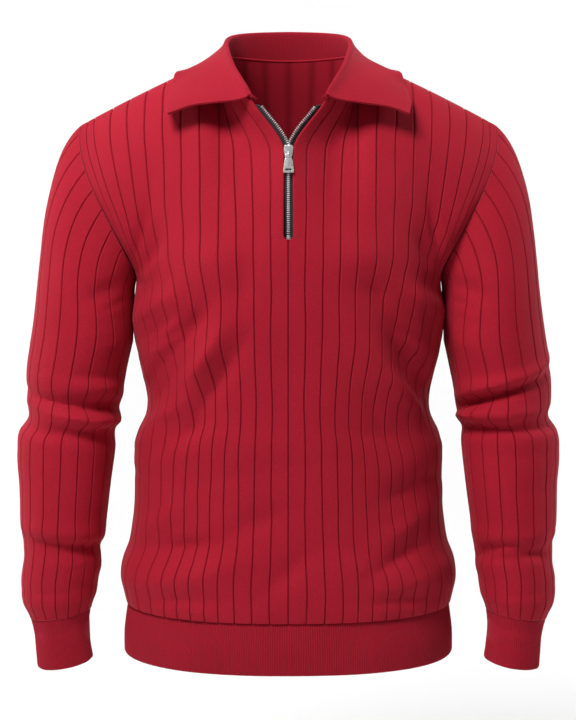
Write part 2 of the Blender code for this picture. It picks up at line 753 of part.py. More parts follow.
def build_collar(cloth, material):
    tree = cloth_tree(cloth)
    shares = np.array(COLLAR_STATIONS)
    base, fold, leaf = neck_seam(shares), collar_line(shares, "fold"), collar_line(shares, "leaf")
    left = [collar_profile(*three) for three in zip(base, fold, leaf)]
    sections = left + [[p * (-1, 1, 1) for p in section] for section in left[-2::-1]]
    least = COLLAR_WALL / 2 + COLLAR_LIFT
    last = len(sections[0]) - 1
    for _ in range(4):
        for k in range(FIRST_LEAF_POINT, last + 1):
            for section in sections:
                section[k] = lift_off(tree, section[k], least)
            for one, two in zip(sections, sections[1:]):
                lift_between(tree, one, k, two, k, least)
        for section in sections:
            for k in range(FIRST_LEAF_POINT, last):
                lift_between(tree, section, k, section, k + 1, least)
    centre = np.array(sections)
    along = np.gradient(centre, axis=0)
    across = np.gradient(centre, axis=1)
    normal = np.cross(along, across)
    normal /= np.linalg.norm(normal, axis=2)[..., None]
    mesh = Mesh()
    rows = []
    for points, out in zip(centre, normal):
        top = points + out * COLLAR_WALL / 2
        under = points - out * COLLAR_WALL / 2
        rows.append(mesh.row(list(top) + list(under[::-1])))
    mesh.grid([row + row[:1] for row in rows])
    count = len(centre[0])
    for row in (rows[0], rows[-1]):
        for k in range(count - 1):
            below, beside = row[2 * count - 2 - k], row[2 * count - 1 - k]
            mesh.faces.append((row[k], row[k + 1], below, beside))
    return mesh.build("collar", material)


# ---- the zip


def slit_edge(side, v, drop, share=0.0):
    """A point of the front beside the zip, drop below the outer face."""
    point = panel_row(-1, side, np.array([share]), v, drop)[0]
    point[0] += side * slit_shift(share)
    return point


def tape_row(side, v):
    """Middle of the tape's inner edge and outer edge at a row, and its normal."""
    middle = WALL + TAPE_GAP + TAPE_WALL / 2
    step = 0.01
    point = slit_edge(side, v, middle)
    outer = slit_edge(side, v, middle, TAPE_SHARE)
    above = slit_edge(side, min(v + step, 2), middle)
    below = slit_edge(side, max(v - step, 0), middle)
    along = (above - below) / np.linalg.norm(above - below)
    across = point - outer
    across -= along * np.dot(across, along)
    across /= np.linalg.norm(across)
    out = np.cross(along, across) * -side
    inner = point + across * (SLIT_HALF - TAPE_MIDDLE)
    inner[0] = side * max(side * inner[0], TAPE_MIDDLE)
    return inner, outer, out


def build_tape(name, side, material):
    mesh = Mesh()
    rows = []
    end = slit_rows()[0]
    for v in [end - 0.03] + [v for v in panel_rows(-1) if end <= v < 1.95] + [1.955]:
        inner, outer, out = tape_row(side, v)
        half = out * TAPE_WALL / 2
        rows.append(mesh.row([inner + half, outer + half, outer - half, inner - half]))
    mesh.grid([row + row[:1] for row in rows])
    mesh.faces += [tuple(rows[0]), tuple(rows[-1][::-1])]
    return mesh.build(name, material)


def zip_frame():
    """Where the slider is on the middle of the tapes, and how far it leans with them."""
    def place(v):
        return tape_row(1, v)[0]

    low, high = 1.2, 1.95
    for _ in range(40):
        middle = (low + high) / 2
        low, high = (middle, high) if place(middle)[2] < SLIDER_Z else (low, middle)
    below, above = place(low - 0.03), place(low + 0.03)
    lean = math.atan2(above[1] - below[1], above[2] - below[2])
    return Vector((0, place(low)[1], SLIDER_Z)), lean


def block(size, place, bevel=0.0):
    """A box as a mesh object, to be joined into a metal piece."""
    edit = bmesh.new()
    bmesh.ops.create_cube(edit, size=1.0)
    for vertex in edit.verts:
        vertex.co = Vector([vertex.co[k] * size[k] + place[k] for k in range(3)])
    if bevel:
        bmesh.ops.bevel(edit, geom=list(edit.edges), offset=bevel, segments=1, affect="EDGES")
    data = bpy.data.meshes.new("block")
    edit.to_mesh(data)
    edit.free()
    made = bpy.data.objects.new("block", data)
    CUTTERS.objects.link(made)
    made.hide_render = True
    made.display_type = "WIRE"
    return made


def wire_arch(radius, wire, place):
    """Half a ring of wire standing out at -Y, as a closed mesh."""
    curve = bpy.data.curves.new("arch", "CURVE")
    curve.dimensions = "3D"
    curve.bevel_depth = wire
    curve.bevel_resolution = 1
    curve.use_fill_caps = True
    line = curve.splines.new("POLY")
    angles = [math.radians(a) for a in (-100, -75, -50, -25, 0, 25, 50, 75, 100)]
    line.points.add(len(angles) - 1)
    for point, a in zip(line.points, angles):
        point.co = (place[0], place[1] - radius * math.cos(a), place[2] + radius * math.sin(a), 1)
    arch = bpy.data.objects.new("arch", curve)
    CUTTERS.objects.link(arch)
    data = bpy.data.meshes.new_from_object(arch.evaluated_get(bpy.context.evaluated_depsgraph_get()))
    bpy.data.objects.remove(arch)
    edit = bmesh.new()
    edit.from_mesh(data)
    bmesh.ops.remove_doubles(edit, verts=edit.verts, dist=1e-6)
    bmesh.ops.recalc_face_normals(edit, faces=edit.faces)
    edit.to_mesh(data)
    edit.free()
    made = bpy.data.objects.new("arch", data)
    CUTTERS.objects.link(made)
    made.hide_render = True
    made.display_type = "WIRE"
    return made


def joined(name, first, others, operation, material):
    """One solid from several helpers."""
    made = bpy.data.objects.new(name, first.data.copy())
    PARTS.objects.link(made)
    made.data.materials.clear()
    made.data.materials.append(material)
    for other in others:
        change = made.modifiers.new("join", "BOOLEAN")
        change.operation = operation
        change.object = other
        other.parent = made
    return made


def build_slider(place, lean, material):
    width, thick, tall = SLIDER_SIZE
    plate_back = -TAPE_WALL / 2 - TEETH_ROOM
    front = block((width, thick, tall), (0, plate_back - thick / 2, 0), 0.5 * MM)
    back_y = TAPE_WALL / 2 + TEETH_ROOM + 0.9 * MM
    back = block((BACK_PLATE_WIDTH, 1.2 * MM, tall), (0, back_y + 0.6 * MM, 0), 0.3 * MM)
    bridge_tall = 3.0 * MM
    bridge = block((1.2 * MM, back_y - plate_back + 1.2 * MM, bridge_tall),
                   (0, (back_y + plate_back) / 2, tall / 2 - bridge_tall / 2 - 0.8 * MM))
    face = plate_back - thick
    arch = wire_arch(BAIL_RADIUS, BAIL_WIRE, (0, face, HINGE_DROP))
    slider = joined("zip_slider", front, [back, bridge, arch], "UNION", material)
    slider.location = place
    slider.rotation_euler = (-lean, 0, 0)
    return face


def build_tab(place, lean, face, material):
    """The pull tab, its origin on the hinge, hanging along the zip."""
    half_top, half_low = TAB_TOP_WIDTH / 2, TAB_WIDTH / 2
    neck = TAB_HOLE_HALF + 1.5 * MM
    low = -TAB_REACH
    outline = [
        (-neck, 0.6 * MM), (-neck, -TAB_NECK + 1 * MM), (-half_top, -TAB_NECK),
        (-half_low, low + TAB_CORNER), (-half_low + TAB_CORNER, low),
        (half_low - TAB_CORNER, low), (half_low, low + TAB_CORNER),
        (half_top, -TAB_NECK), (neck, -TAB_NECK + 1 * MM), (neck, 0.6 * MM),
    ]
    edit = bmesh.new()
    corners = [edit.verts.new((x, -TAB_WALL / 2, z)) for x, z in outline]
    flat = edit.faces.new(corners)
    moved = bmesh.ops.extrude_face_region(edit, geom=[flat])
    for item in moved["geom"]:
        if isinstance(item, bmesh.types.BMVert):
            item.co.y += TAB_WALL
    bmesh.ops.recalc_face_normals(edit, faces=edit.faces)
    data = bpy.data.meshes.new("tab")
    edit.to_mesh(data)
    edit.free()
    plate = bpy.data.objects.new("tab_plate", data)
    CUTTERS.objects.link(plate)
    plate.hide_render = True
    hole_middle = -(TAB_HOLE[0] + TAB_HOLE[1]) / 2
    hole = block((2 * TAB_HOLE_HALF, 4 * TAB_WALL, TAB_HOLE[1] - TAB_HOLE[0]), (0, 0, hole_middle))
    slot_middle = low + TAB_FOOT + TAB_SLOT[1] / 2
    slot = block((TAB_SLOT[0], 4 * TAB_WALL, TAB_SLOT[1]), (0, 0, slot_middle))
    tab = joined("zip_pull", plate, [hole, slot], "DIFFERENCE", material)
    turn = -lean
    offset = Vector((0, face - HINGE_OUT, HINGE_DROP))
    offset.rotate(Euler((turn, 0, 0)))
    tab.location = place + offset
    tab.rotation_euler = (turn, 0, 0)
    return tab


# ---- the whole garment


def material(name, colour, roughness, metallic=0.0):
    made = bpy.data.materials.new(name)
    made.use_nodes = True
    shader = made.node_tree.nodes["Principled BSDF"]
    shader.inputs["Base Color"].default_value = (*colour, 1)
    shader.inputs["Roughness"].default_value = roughness
    shader.inputs["Metallic"].default_value = metallic
    return made


def collection(name):
    made = bpy.data.collections.new(name)
    bpy.context.scene.collection.children.link(made)
    return made


for old in list(bpy.data.objects):
    bpy.data.objects.remove(old)
PARTS = collection("zip_pullover")
CUTTERS = collection("cutters")

knit = material("rib_knit", RED, 0.85)
fine_knit = material("fine_rib", RED, 0.8)
black_tape = material("zip_tape", BLACK, 0.7)
steel = material("zip_metal", STEEL, 0.25, 1.0)

front = build_panel("front", -1, knit)
back = build_panel("back", 1, knit)
sleeve_left = build_sleeve("sleeve_left", -1, knit)
sleeve_right = build_sleeve("sleeve_right", 1, knit)
build_cuff("cuff_left", -1, fine_knit)
build_cuff("cuff_right", 1, fine_knit)
build_band("hem_band", fine_knit)
build_collar([front, back], fine_knit)
build_tape("zip_tape_left", -1, black_tape)
build_tape("zip_tape_right", 1, black_tape)
slider_place, slider_lean = zip_frame()
slider_face = build_slider(slider_place, slider_lean, steel)
build_tab(slider_place, slider_lean, slider_face, steel)
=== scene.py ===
import math

import bmesh
import bpy
import numpy as np
from mathutils import Matrix, Vector
from mathutils.bvhtree import BVHTree


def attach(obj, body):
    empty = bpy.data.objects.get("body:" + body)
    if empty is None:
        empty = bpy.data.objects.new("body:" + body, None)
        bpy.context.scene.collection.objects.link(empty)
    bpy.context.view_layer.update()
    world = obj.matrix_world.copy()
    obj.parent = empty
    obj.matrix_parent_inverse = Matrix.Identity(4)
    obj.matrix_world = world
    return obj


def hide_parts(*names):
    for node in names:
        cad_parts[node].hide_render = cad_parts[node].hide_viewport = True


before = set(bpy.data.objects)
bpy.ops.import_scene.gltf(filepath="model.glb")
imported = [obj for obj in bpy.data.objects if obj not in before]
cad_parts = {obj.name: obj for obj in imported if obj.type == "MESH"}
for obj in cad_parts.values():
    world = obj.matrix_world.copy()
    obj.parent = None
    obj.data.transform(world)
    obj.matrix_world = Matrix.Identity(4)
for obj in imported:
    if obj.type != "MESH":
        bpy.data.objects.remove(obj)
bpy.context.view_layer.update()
print("frame loaded:", len(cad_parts), "nodes")

mm = 0.001

cloth = {
    "wall": 2.5,  # mm, thickness of the rib knit
    "seam": 0.16,  # mm, half of the gap at each seam
    "seamShare": 0.0007, "seamRise": 0.0015,  # the same gap as shares of u and v
    "seamThin": 0.4,  # share of the wall that goes at a seam
    "panelRibs": 13,  # on each half of the front and the back
    "sleeveRibs": 18,
    "halfPanel": 242.0,  # mm, flat width of half a panel
    "sleeveGirth": 372.0,  # mm, flat width of a sleeve
}
cut = {
    "hemZ": -594.0, "underarmZ": -237.0, "bandBottomZ": -651.0, "shoulderX": 228.0, "shoulderZ": -68.0,
    "neckX": 74.0, "neckZ": 6.5, "seamY": 5.0, "neckShare": 0.31, "shoulderShare": 0.93,
    "neckRibs": 4, "shoulderRibs": 11,  # ribs from the middle to the neck's end and to the armhole
    "sleeveTopZ": -305.0, "wristZ": -607.0, "cuffBottomZ": -664.0,
}
zipCut = {
    "endZ": -187.0, "half": 4.8, "veeStartZ": -97.0, "veeTopX": 34.0, "veeTopY": -88.0, "veeTopZ": -42.0,
    "tapeShare": 0.036, "tapeWall": 1.2, "tapeGap": 1.1, "tapeMiddle": 0.35, "sliderZ": -96.0,
}

# mm: height, half width, depth of the front and of the back, roundness
bodySections = [
    (-600, 180.0, 128, 104, 2.35), (-586, 183.5, 131, 107, 2.35), (-568, 187.5, 132, 108, 2.30),
    (-550, 185.5, 130, 107, 2.30), (-528, 178.0, 126, 104, 2.25), (-500, 173.0, 122, 100, 2.25),
    (-460, 171.0, 120, 98, 2.20), (-428, 171.0, 118, 96, 2.20), (-406, 168.0, 118, 96, 2.20),
    (-385, 159.0, 117, 97, 2.20), (-358, 157.0, 118, 100, 2.20), (-330, 162.5, 120, 106, 2.20),
    (-300, 170.0, 121, 111, 2.25), (-270, 169.0, 121, 115, 2.30), (-237, 167.0, 119, 117, 2.30),
    (-200, 168.0, 116, 117, 2.30),
]
bandSections = [
    (-594, 179.5, 127.5, 103.5, 2.35), (-606, 181.0, 129, 105, 2.36),
    (-625, 183.5, 131, 107, 2.38), (-651, 184.5, 130, 107, 2.30),
]
# mm: height, middle x and y, half width, half depth, tilt
sleeveSections = [
    (-305, -229.0, 0, 56.5, 66, 0.00), (-340, -235.5, -1, 55.0, 63, 0.00), (-370, -238.5, -3, 52.5, 61, 0.00),
    (-385, -237.0, -4, 51.5, 60, 0.00), (-403, -245.0, -5, 54.0, 59, 0.01), (-425, -247.0, -6, 54.0, 58, 0.02),
    (-465, -248.5, -9, 50.5, 57, 0.05), (-505, -250.5, -12, 47.5, 54, 0.08), (-540, -251.0, -14, 43.5, 50, 0.11),
    (-565, -254.5, -15, 43.0, 48, 0.13), (-590, -255.0, -16, 40.5, 46, 0.15), (-607, -254.5, -17, 34.0, 40, 0.15),
    (-625, -253.5, -17, 30.5, 37, 0.15), (-645, -252.0, -18, 30.3, 37, 0.15), (-664, -250.0, -18, 31.0, 37, 0.15),
]
# mm: x, z, angle, half length, half width, depth (below 0 is pressed in)
frontFolds = [
    (-128, -322, 58, 110, 17, -5.0), (-96, -336, 62, 120, 15, 3.5), (-142, -262, 40, 48, 11, 5.0),
    (-140, -286, 35, 46, 11, -5.0), (-150, -214, 70, 46, 11, -6.5), (126, -318, 122, 110, 17, -5.0),
    (95, -340, 118, 112, 15, 3.0), (142, -258, 142, 48, 11, 5.0), (139, -283, 146, 46, 11, -4.5),
    (150, -212, 110, 46, 11, -6.5), (-120, -548, 6, 72, 14, 3.0), (-96, -573, 3, 90, 10, -2.5),
    (112, -540, 176, 76, 15, 3.0), (90, -572, 178, 86, 10, -2.5), (0, -402, 8, 110, 24, 1.5),
]
backFolds = [
    (-118, -330, 56, 105, 18, -4.5), (-80, -350, 60, 95, 16, 3.0), (118, -324, 124, 105, 18, -4.5),
    (84, -352, 119, 95, 16, 3.0), (-142, -262, 44, 50, 12, 4.5), (142, -260, 136, 50, 12, 4.5),
    (-150, -206, 74, 44, 12, -5.0), (150, -204, 106, 44, 12, -5.0), (10, -395, 4, 120, 20, -3.5),
    (-8, -425, 176, 120, 18, 3.0), (-100, -556, 5, 80, 14, 3.0), (104, -552, 175, 80, 14, 3.0),
]
# turn, height, slant, half share of the way round, half height, depth
leftFolds = [
    (0.30, -340, 6, 0.20, 8, -2.6), (0.28, -372, -14, 0.42, 8, -5.5), (0.36, -388, -10, 0.34, 8, 3.5),
    (0.26, -402, -8, 0.40, 8, -4.5), (0.78, -384, 16, 0.32, 10, -4.0), (0.30, -532, -6, 0.42, 8, -3.5),
    (0.45, -556, 4, 0.30, 10, 2.5), (0.78, -545, 5, 0.34, 10, -3.0), (0.34, -246, 30, 0.14, 12, -4.0),
    (0.66, -250, -30, 0.14, 12, -4.0),
]
rightFolds = [
    (0.27, -346, -24, 0.32, 8, 3.0), (0.30, -361, -26, 0.38, 8, -5.5), (0.30, -380, -4, 0.34, 8, 3.5),
    (0.31, -397, -6, 0.38, 8, -4.5), (0.78, -392, -14, 0.32, 10, -4.0), (0.22, -536, -12, 0.40, 8, -3.5),
    (0.45, -552, -6, 0.30, 10, 2.5), (0.78, -548, -5, 0.34, 10, -3.0), (0.34, -244, 30, 0.14, 12, -4.0),
    (0.66, -248, -30, 0.14, 12, -4.0),
]
# share of the way round, fold x y z, leaf edge x y z
collarSections = [
    (0.00, -41, -90, -36, -128, -74, -56), (0.10, -46, -82, -26, -131, -56, -44),
    (0.24, -58, -58, -7, -126, -26, -26), (0.40, -66, -24, 12, -116, 10, -12),
    (0.56, -68, 14, 25, -105, 44, -8), (0.72, -58, 46, 32, -88, 76, -8),
    (0.86, -34, 63, 35, -50, 96, -8), (1.00, 0, 68, 36, 0, 103, -8),
]


def smooth(x, xs, ys):
    order = np.argsort(xs)
    xs, ys = np.asarray(xs, float)[order], np.asarray(ys, float)[order]
    slope = np.gradient(ys, xs)
    i = np.clip(np.searchsorted(xs, x) - 1, 0, len(xs) - 2)
    step = xs[i + 1] - xs[i]
    t = np.clip((x - xs[i]) / step, 0, 1)
    return ((1 + 2 * t) * (1 - t) ** 2 * ys[i] + t * (1 - t) ** 2 * step * slope[i]
            + t * t * (3 - 2 * t) * ys[i + 1] + t * t * (t - 1) * step * slope[i + 1])


def ease(low, high, x):
    t = np.clip((x - low) / (high - low), 0, 1)
    return t * t * (3 - 2 * t)


def bezier(a, b, c, d, t):
    t = np.asarray(t)[..., None]
    return (1 - t) ** 3 * a + 3 * t * (1 - t) ** 2 * b + 3 * t * t * (1 - t) * c + t**3 * d


def even(points, shares):
    run = np.concatenate([[0], np.cumsum(np.linalg.norm(np.diff(points, axis=0), axis=1))])
    at = np.asarray(shares) * run[-1]
    return np.stack([np.interp(at, run, points[:, k]) for k in range(3)], axis=-1)


def unit(vectors):
    return vectors / (np.linalg.norm(vectors, axis=-1, keepdims=True) + 1e-12)


def placed(name, data):
    made = bpy.data.objects.new(name, data)
    bpy.context.scene.collection.objects.link(made)
    return made


def evaluatedMesh(maker):
    # the maker's final mesh; the maker itself goes
    made = bpy.data.meshes.new_from_object(maker.evaluated_get(bpy.context.evaluated_depsgraph_get()))
    bpy.data.objects.remove(maker)
    return made


def flatUv(across, along):
    return np.stack([across, np.full(len(across), along)], -1)


# the body's surface: u runs from the middle (0) to the side (1), v from hem (0) to underarm (1) to top (2)

def bodyRing(side, us, z, sections=bodySections):
    table = np.array(sections, float)
    half, front, back, power = (smooth(z / mm, table[:, 0], table[:, k]) for k in (1, 2, 3, 4))
    angle = np.linspace(0, math.pi, 721)
    c, s = np.cos(angle), np.sin(angle)
    x = -half * mm * np.sign(c) * np.abs(c) ** (2 / power)
    y = side * (front if side < 0 else back) * mm * np.abs(s) ** (2 / power)
    return even(np.stack([x, y, np.full_like(x, z)], axis=-1), (np.asarray(us) + 1) / 2)


def topEdge(side, us):
    ribs = cloth["panelRibs"]
    share = np.interp(us, (0, cut["neckRibs"] / ribs, cut["shoulderRibs"] / ribs, 1),
                      (0, cut["neckShare"], cut["shoulderShare"], 1))
    corner = np.array([cut["neckX"], cut["seamY"], cut["neckZ"]])
    if side < 0:
        run = np.array([[zipCut["veeTopX"], zipCut["veeTopY"], zipCut["veeTopZ"]], [56, -76, -33], [76, -36, -4]])
    else:
        run = np.array([[0, 66, 3], [38, 66, 3], [72, 44, 8]])
    neck = bezier(*run, corner, np.clip(share / cut["neckShare"], 0, 1))
    across = np.clip((share - cut["neckShare"]) / (1 - cut["neckShare"]), 0, 1)
    x = cut["neckX"] + across * (cut["shoulderX"] - cut["neckX"])
    z = cut["neckZ"] - (cut["neckZ"] - cut["shoulderZ"]) * (0.87 * across + 0.13 * across**2)
    seam = np.stack([x, np.full_like(x, cut["seamY"]), z], axis=-1)
    return np.where((share < cut["neckShare"])[:, None], neck, seam) * mm


def panelBase(side, us, v):
    us = np.asarray(us, float)
    hem, underarm = cut["hemZ"] * mm, cut["underarmZ"] * mm
    if v <= 1:
        return bodyRing(side, us, hem + v * (underarm - hem))
    start = bodyRing(side, us, underarm)
    rise = (start - bodyRing(side, us, underarm - mm)) / mm
    end = topEdge(side, us)
    edge = ease(0.62, 1.0, us)[:, None]
    neck = (1 - ease(0.16, 0.42, us))[:, None]
    up = rise * (end[:, 2:3] - start[:, 2:3]) * 0.42
    under = np.array([-6, 74 * side, 24]) * mm
    over = np.array([0, 62 * side, -6]) * mm
    straight = np.array([0, 10 * side, -60]) * mm
    cap = np.array([8, (50 if side < 0 else 56) * side, -52]) * mm
    second = start + up * (1 - edge) + under * edge
    third = end + (over * (1 - neck) + straight * neck) * (1 - edge) + cap * edge
    points = bezier(start, second, third, end, np.full(len(us), v - 1))
    if side < 0:
        low, high = zipCut["veeStartZ"] * mm, zipCut["veeTopZ"] * mm
        height = (points[:, 2] - low) / (high - low)
        vee = start[:, 0] + (end[:, 0] - start[:, 0]) * ease(0, 1.25, height) / ease(0, 1.25, 1)
        points[:, 0] += (vee - points[:, 0]) * (1 - ease(0.0, 0.5, us))
    return points


def panelFrame(side, half, us, v):
    step = 0.004
    us = np.clip(us, 0, 1 - cloth["seamShare"])
    v = min(v, 2 - cloth["seamRise"])
    points = panelBase(side, us, v)
    across = panelBase(side, np.minimum(us + step, 1), v) - panelBase(side, np.maximum(us - step, 0), v)
    up = panelBase(side, us, min(v + step, 2)) - panelBase(side, us, max(v - step, 0))
    normal = unit(np.cross(across, up) * -side)
    normal[:, 1] *= 1 - ease(1.9, 2.0, v) * ease(0.24, 0.30, us)
    normal = unit(normal)
    points[:, 0] *= half
    normal[:, 0] *= half
    press = ease(0.86, 1.0, us) * ease(0.97, 1.0, v)  # thinner at the armhole seam
    still = (1 - ease(0.93, 1.0, us) * ease(0.9, 1.0, v)) * (1 - ease(1.9, 2.0, v))
    return points, normal, press, still


def foldShift(table, points):
    total = np.zeros(points.shape[:-1])
    for x, z, angle, long, wide, depth in table:
        a = math.radians(angle)
        dx, dz = points[..., 0] - x * mm, points[..., 2] - z * mm
        along = (dx * math.cos(a) + dz * math.sin(a)) / (long * mm)
        across = (dz * math.cos(a) - dx * math.sin(a)) / (wide * mm)
        total += depth * mm * np.exp(-across**2 - along**2 * 2)
    return total * ease(0, 14 * mm, points[..., 2] - cut["hemZ"] * mm)


def armholeLoop():
    rows = np.linspace(1.0, 2.0, 120)
    front = np.array([panelBase(-1, [1.0], v)[0] for v in rows[::-1]])
    back = np.array([panelBase(1, [1.0], v)[0] for v in rows[1:]])
    return np.vstack([front, back]) * (-1, 1, 1)


def sleeveSection(turns, z):
    table = np.array(sleeveSections, float)
    x, y, half, deep, tilt = (smooth(z / mm, table[:, 0], table[:, k]) for k in (1, 2, 3, 4, 5))
    angle = np.linspace(0, 2 * math.pi, 361)
    ring = np.stack([-half * mm * np.cos(angle), -deep * mm * np.sin(angle), 0 * angle], axis=-1)
    points = even(ring, np.mod(turns, 1.0))
    points[:, 2] = z + tilt * points[:, 0]
    return points + np.array([x, y, 0]) * mm


armhole = armholeLoop()


def sleeveBase(turns, v):
    top, wrist = cut["sleeveTopZ"] * mm, cut["wristZ"] * mm
    if v >= 1:
        return sleeveSection(turns, top + (v - 1) * (wrist - top))
    start = even(armhole, np.mod(turns, 1.0))
    end = sleeveSection(turns, top)
    angle = 2 * math.pi * np.asarray(turns)
    outer, under, side = (1 + np.cos(angle)) / 2, (1 - np.cos(angle)) / 2, np.sin(angle)
    start = start + (under**3)[:, None] * np.array([-1.6, 0, -1.0]) * mm
    leave = np.stack([-46 * outer - 4.5 * under - 12 * np.abs(side), -16 * side,
                      -38 * outer - 18 * under - 26 * np.abs(side)], axis=-1) * mm
    arrive = np.stack([16 * outer + under, 0 * side, 84 * outer + 28 * under], axis=-1) * mm
    return bezier(start, start + leave, end + arrive, end, np.full(len(angle), v))


def sleeveFrame(turns, v):
    v, step = max(v, 0.004), 0.004
    points = sleeveBase(turns, v)
    across = sleeveBase(turns + step, v) - sleeveBase(turns - step, v)
    down = sleeveBase(turns, min(v + step, 2)) - sleeveBase(turns, max(v - step, 0))
    return points, unit(np.cross(down, across))


def sleeveShift(table, turns, z):
    total = np.zeros(np.broadcast(turns, z).shape)
    for turn, height, slant, long, wide, depth in table:
        away = np.mod(turns - turn + 0.5, 1.0) - 0.5
        across = (z / mm - height - slant * away * 4) / wide
        total = total + depth * mm * np.exp(-across**2 - (away / long) ** 2 * 3)
    return total

# where the rib lines run: height along the panel, how many ribs the outer lines are drawn in
ribDrift = [(0, 0.9), (0.17, 0.95), (0.38, 0.8), (0.52, 1.05), (0.82, 0.5), (0.96, 0.2), (1.1, -0.6),
            (1.3, -0.8), (1.6, -0.5), (2.0, 0.0)]
rib = {
    "depth": 1.25, "width": 0.62,  # mm, the drop-needle groove
    "lip": 0.20, "lipAt": 1.7, "lipWidth": 0.65,  # mm, the rolled stitch beside it
    "crown": 0.30,  # mm, how full each rib is
    "waver": 0.55,  # mm, how far a groove wanders
    "offsets": (-2.4, -1.5, -0.9, -0.4, 0.0, 0.4, 0.9, 1.5, 2.4),  # mm, columns at a groove
    "between": 3,
}
softness = {"swell": 0.9, "ripple": 0.35}  # mm, uneven cloth


def drifted(shares, v):
    table = np.array(ribDrift)
    ribs = cloth["panelRibs"]
    amount = np.interp(v, table[:, 0], table[:, 1]) / ribs
    fade = ease(2 / ribs, 9 / ribs, shares) * (1 - ease(9 / ribs, 1, shares))
    return shares - amount * fade


def ribColumns(ribs, girth, ringed):
    # shares across, distance to the groove in mm, and which groove
    pitch = girth / ribs
    at, away, which = [], [], []
    for k in range(ribs + (0 if ringed else 1)):
        middle = (k + (0.5 if ringed else 0)) * pitch
        for offset in rib["offsets"]:
            at.append(middle + offset)
            away.append(offset)
            which.append(k)
        for j in range(rib["between"]):
            low, high = rib["offsets"][-1], pitch + rib["offsets"][0]
            offset = low + (high - low) * (j + 1) / (rib["between"] + 1)
            at.append(middle + offset)
            away.append(min(offset, pitch - offset))
            which.append(k)
    at, away, which = np.array(at) / girth, np.array(away), np.array(which)
    if ringed:
        return at, away, which
    inside = (at >= -1e-9) & (at < 1 - 1.2 / girth)
    return (np.append(np.maximum(at[inside], 0), 1.0), np.append(away[inside], 4.0),
            np.append(which[inside], ribs))


def ribHeight(away, pitch):
    d = np.abs(away)
    groove = -rib["depth"] * np.exp(-(d / rib["width"]) ** 2)
    lip = rib["lip"] * np.exp(-((d - rib["lipAt"]) / rib["lipWidth"]) ** 2)
    crown = rib["crown"] * (1 - (1 - np.clip(d * 2 / pitch, 0, 1)) ** 2)
    return (groove + lip + crown) * mm


# painted shade along each rib's groove, strongest at its middle
def grooveShadeMask(away):
    return np.exp(-(away / 0.75) ** 2)


def wander(which, along, seed):
    w = np.asarray(which) * 2.4 + seed
    return (np.sin(along / 0.021 + w * 1.7) * 0.5 + np.sin(along / 0.0093 + w * 3.1) * 0.3
            + np.sin(along / 0.047 + w) * 0.4) * rib["waver"] * mm


def swell(points, seed):
    x, y, z = points[..., 0], points[..., 1], points[..., 2]
    a = np.sin(x / 0.031 + 1.3 * seed + np.sin(z / 0.043 + seed) * 1.4)
    a = a * np.sin(z / 0.052 + 2.1 * seed + y / 0.06)
    b = np.sin((x + z * 0.7) / 0.017 + seed) * np.sin((z - x * 0.4) / 0.023 + seed * 2.3)
    return (a * softness["swell"] + b * softness["ripple"]) * mm * 0.5


class Mesh:
    def __init__(self):
        self.points, self.faces, self.uvs, self.masks = [], [], [], []

    def row(self, points, uvs=None, masks=None):
        first = sum(len(p) for p in self.points)
        points = np.asarray(points, float)
        self.points.append(points)
        self.uvs.append(np.zeros((len(points), 2)) if uvs is None else np.asarray(uvs, float))
        self.masks.append(np.zeros(len(points)) if masks is None else np.asarray(masks, float))
        return np.arange(first, first + len(points))

    def ring(self, points, uvs=None, masks=None):
        made = self.row(points, uvs, masks)
        return np.append(made, made[0])

    def grid(self, rows):
        rows = np.array(rows)
        quads = np.stack([rows[:-1, :-1], rows[:-1, 1:], rows[1:, 1:], rows[1:, :-1]], axis=-1)
        self.faces += quads.reshape(-1, 4).tolist()

    def bridge(self, one, oneShares, two, twoShares):
        i = j = 0
        while i < len(one) - 1 or j < len(two) - 1:
            nextOne = oneShares[i + 1] if i < len(one) - 1 else math.inf
            nextTwo = twoShares[j + 1] if j < len(two) - 1 else math.inf
            if nextOne <= nextTwo:
                self.faces.append((one[i], one[i + 1], two[j]))
                i += 1
            else:
                self.faces.append((one[i], two[j + 1], two[j]))
                j += 1

    def build(self, name, material, merge=1e-7, sharp=50):
        data = bpy.data.meshes.new(name)
        points, uvs = np.vstack(self.points), np.vstack(self.uvs)
        data.from_pydata(points.tolist(), [], self.faces)
        # the "groove" attribute holds painted shade, which the knit finish mixes in
        mask = data.attributes.new("groove", "FLOAT", "POINT")
        mask.data.foreach_set("value", np.concatenate(self.masks).astype(np.float32))
        corners = np.empty(len(data.loops), np.int32)
        data.loops.foreach_get("vertex_index", corners)
        layer = data.uv_layers.new(name="UVMap")
        layer.data.foreach_set("uv", uvs[corners].astype(np.float32).ravel())
        edit = bmesh.new()
        edit.from_mesh(data)
        bmesh.ops.remove_doubles(edit, verts=edit.verts, dist=merge)
        bmesh.ops.recalc_face_normals(edit, faces=edit.faces)
        edit.to_mesh(data)
        edit.free()
        data.materials.append(material)
        data.shade_smooth()
        data.set_sharp_from_angle(angle=math.radians(sharp))
        return placed(name, data)


def turnedOut(points, normal, tangent, lift, aside):
    return points + normal * lift[..., None] + tangent * aside[..., None]


# front and back

panel = {
    "hemRows": 96, "topRows": 62, "innerPerRib": 4,
    "length": (0, 0.357, 0.592),  # m along the cloth at the hem, the underarm and the top
    "zipRows": (0, 0.0012, 0.003, 0.006, 0.010, 0.015, 0.021, 0.028),  # v above the zip's foot
    "noGroove": 4,  # mm, kept clear of the groove beside the zip
    "rolled": (2.2, 0.9),  # mm, reach and depth of the zip's turned edge
    "inside": (0.30, 0.70, 1.1),  # painted shade on the inside, more of it at a groove, mm of its width
}

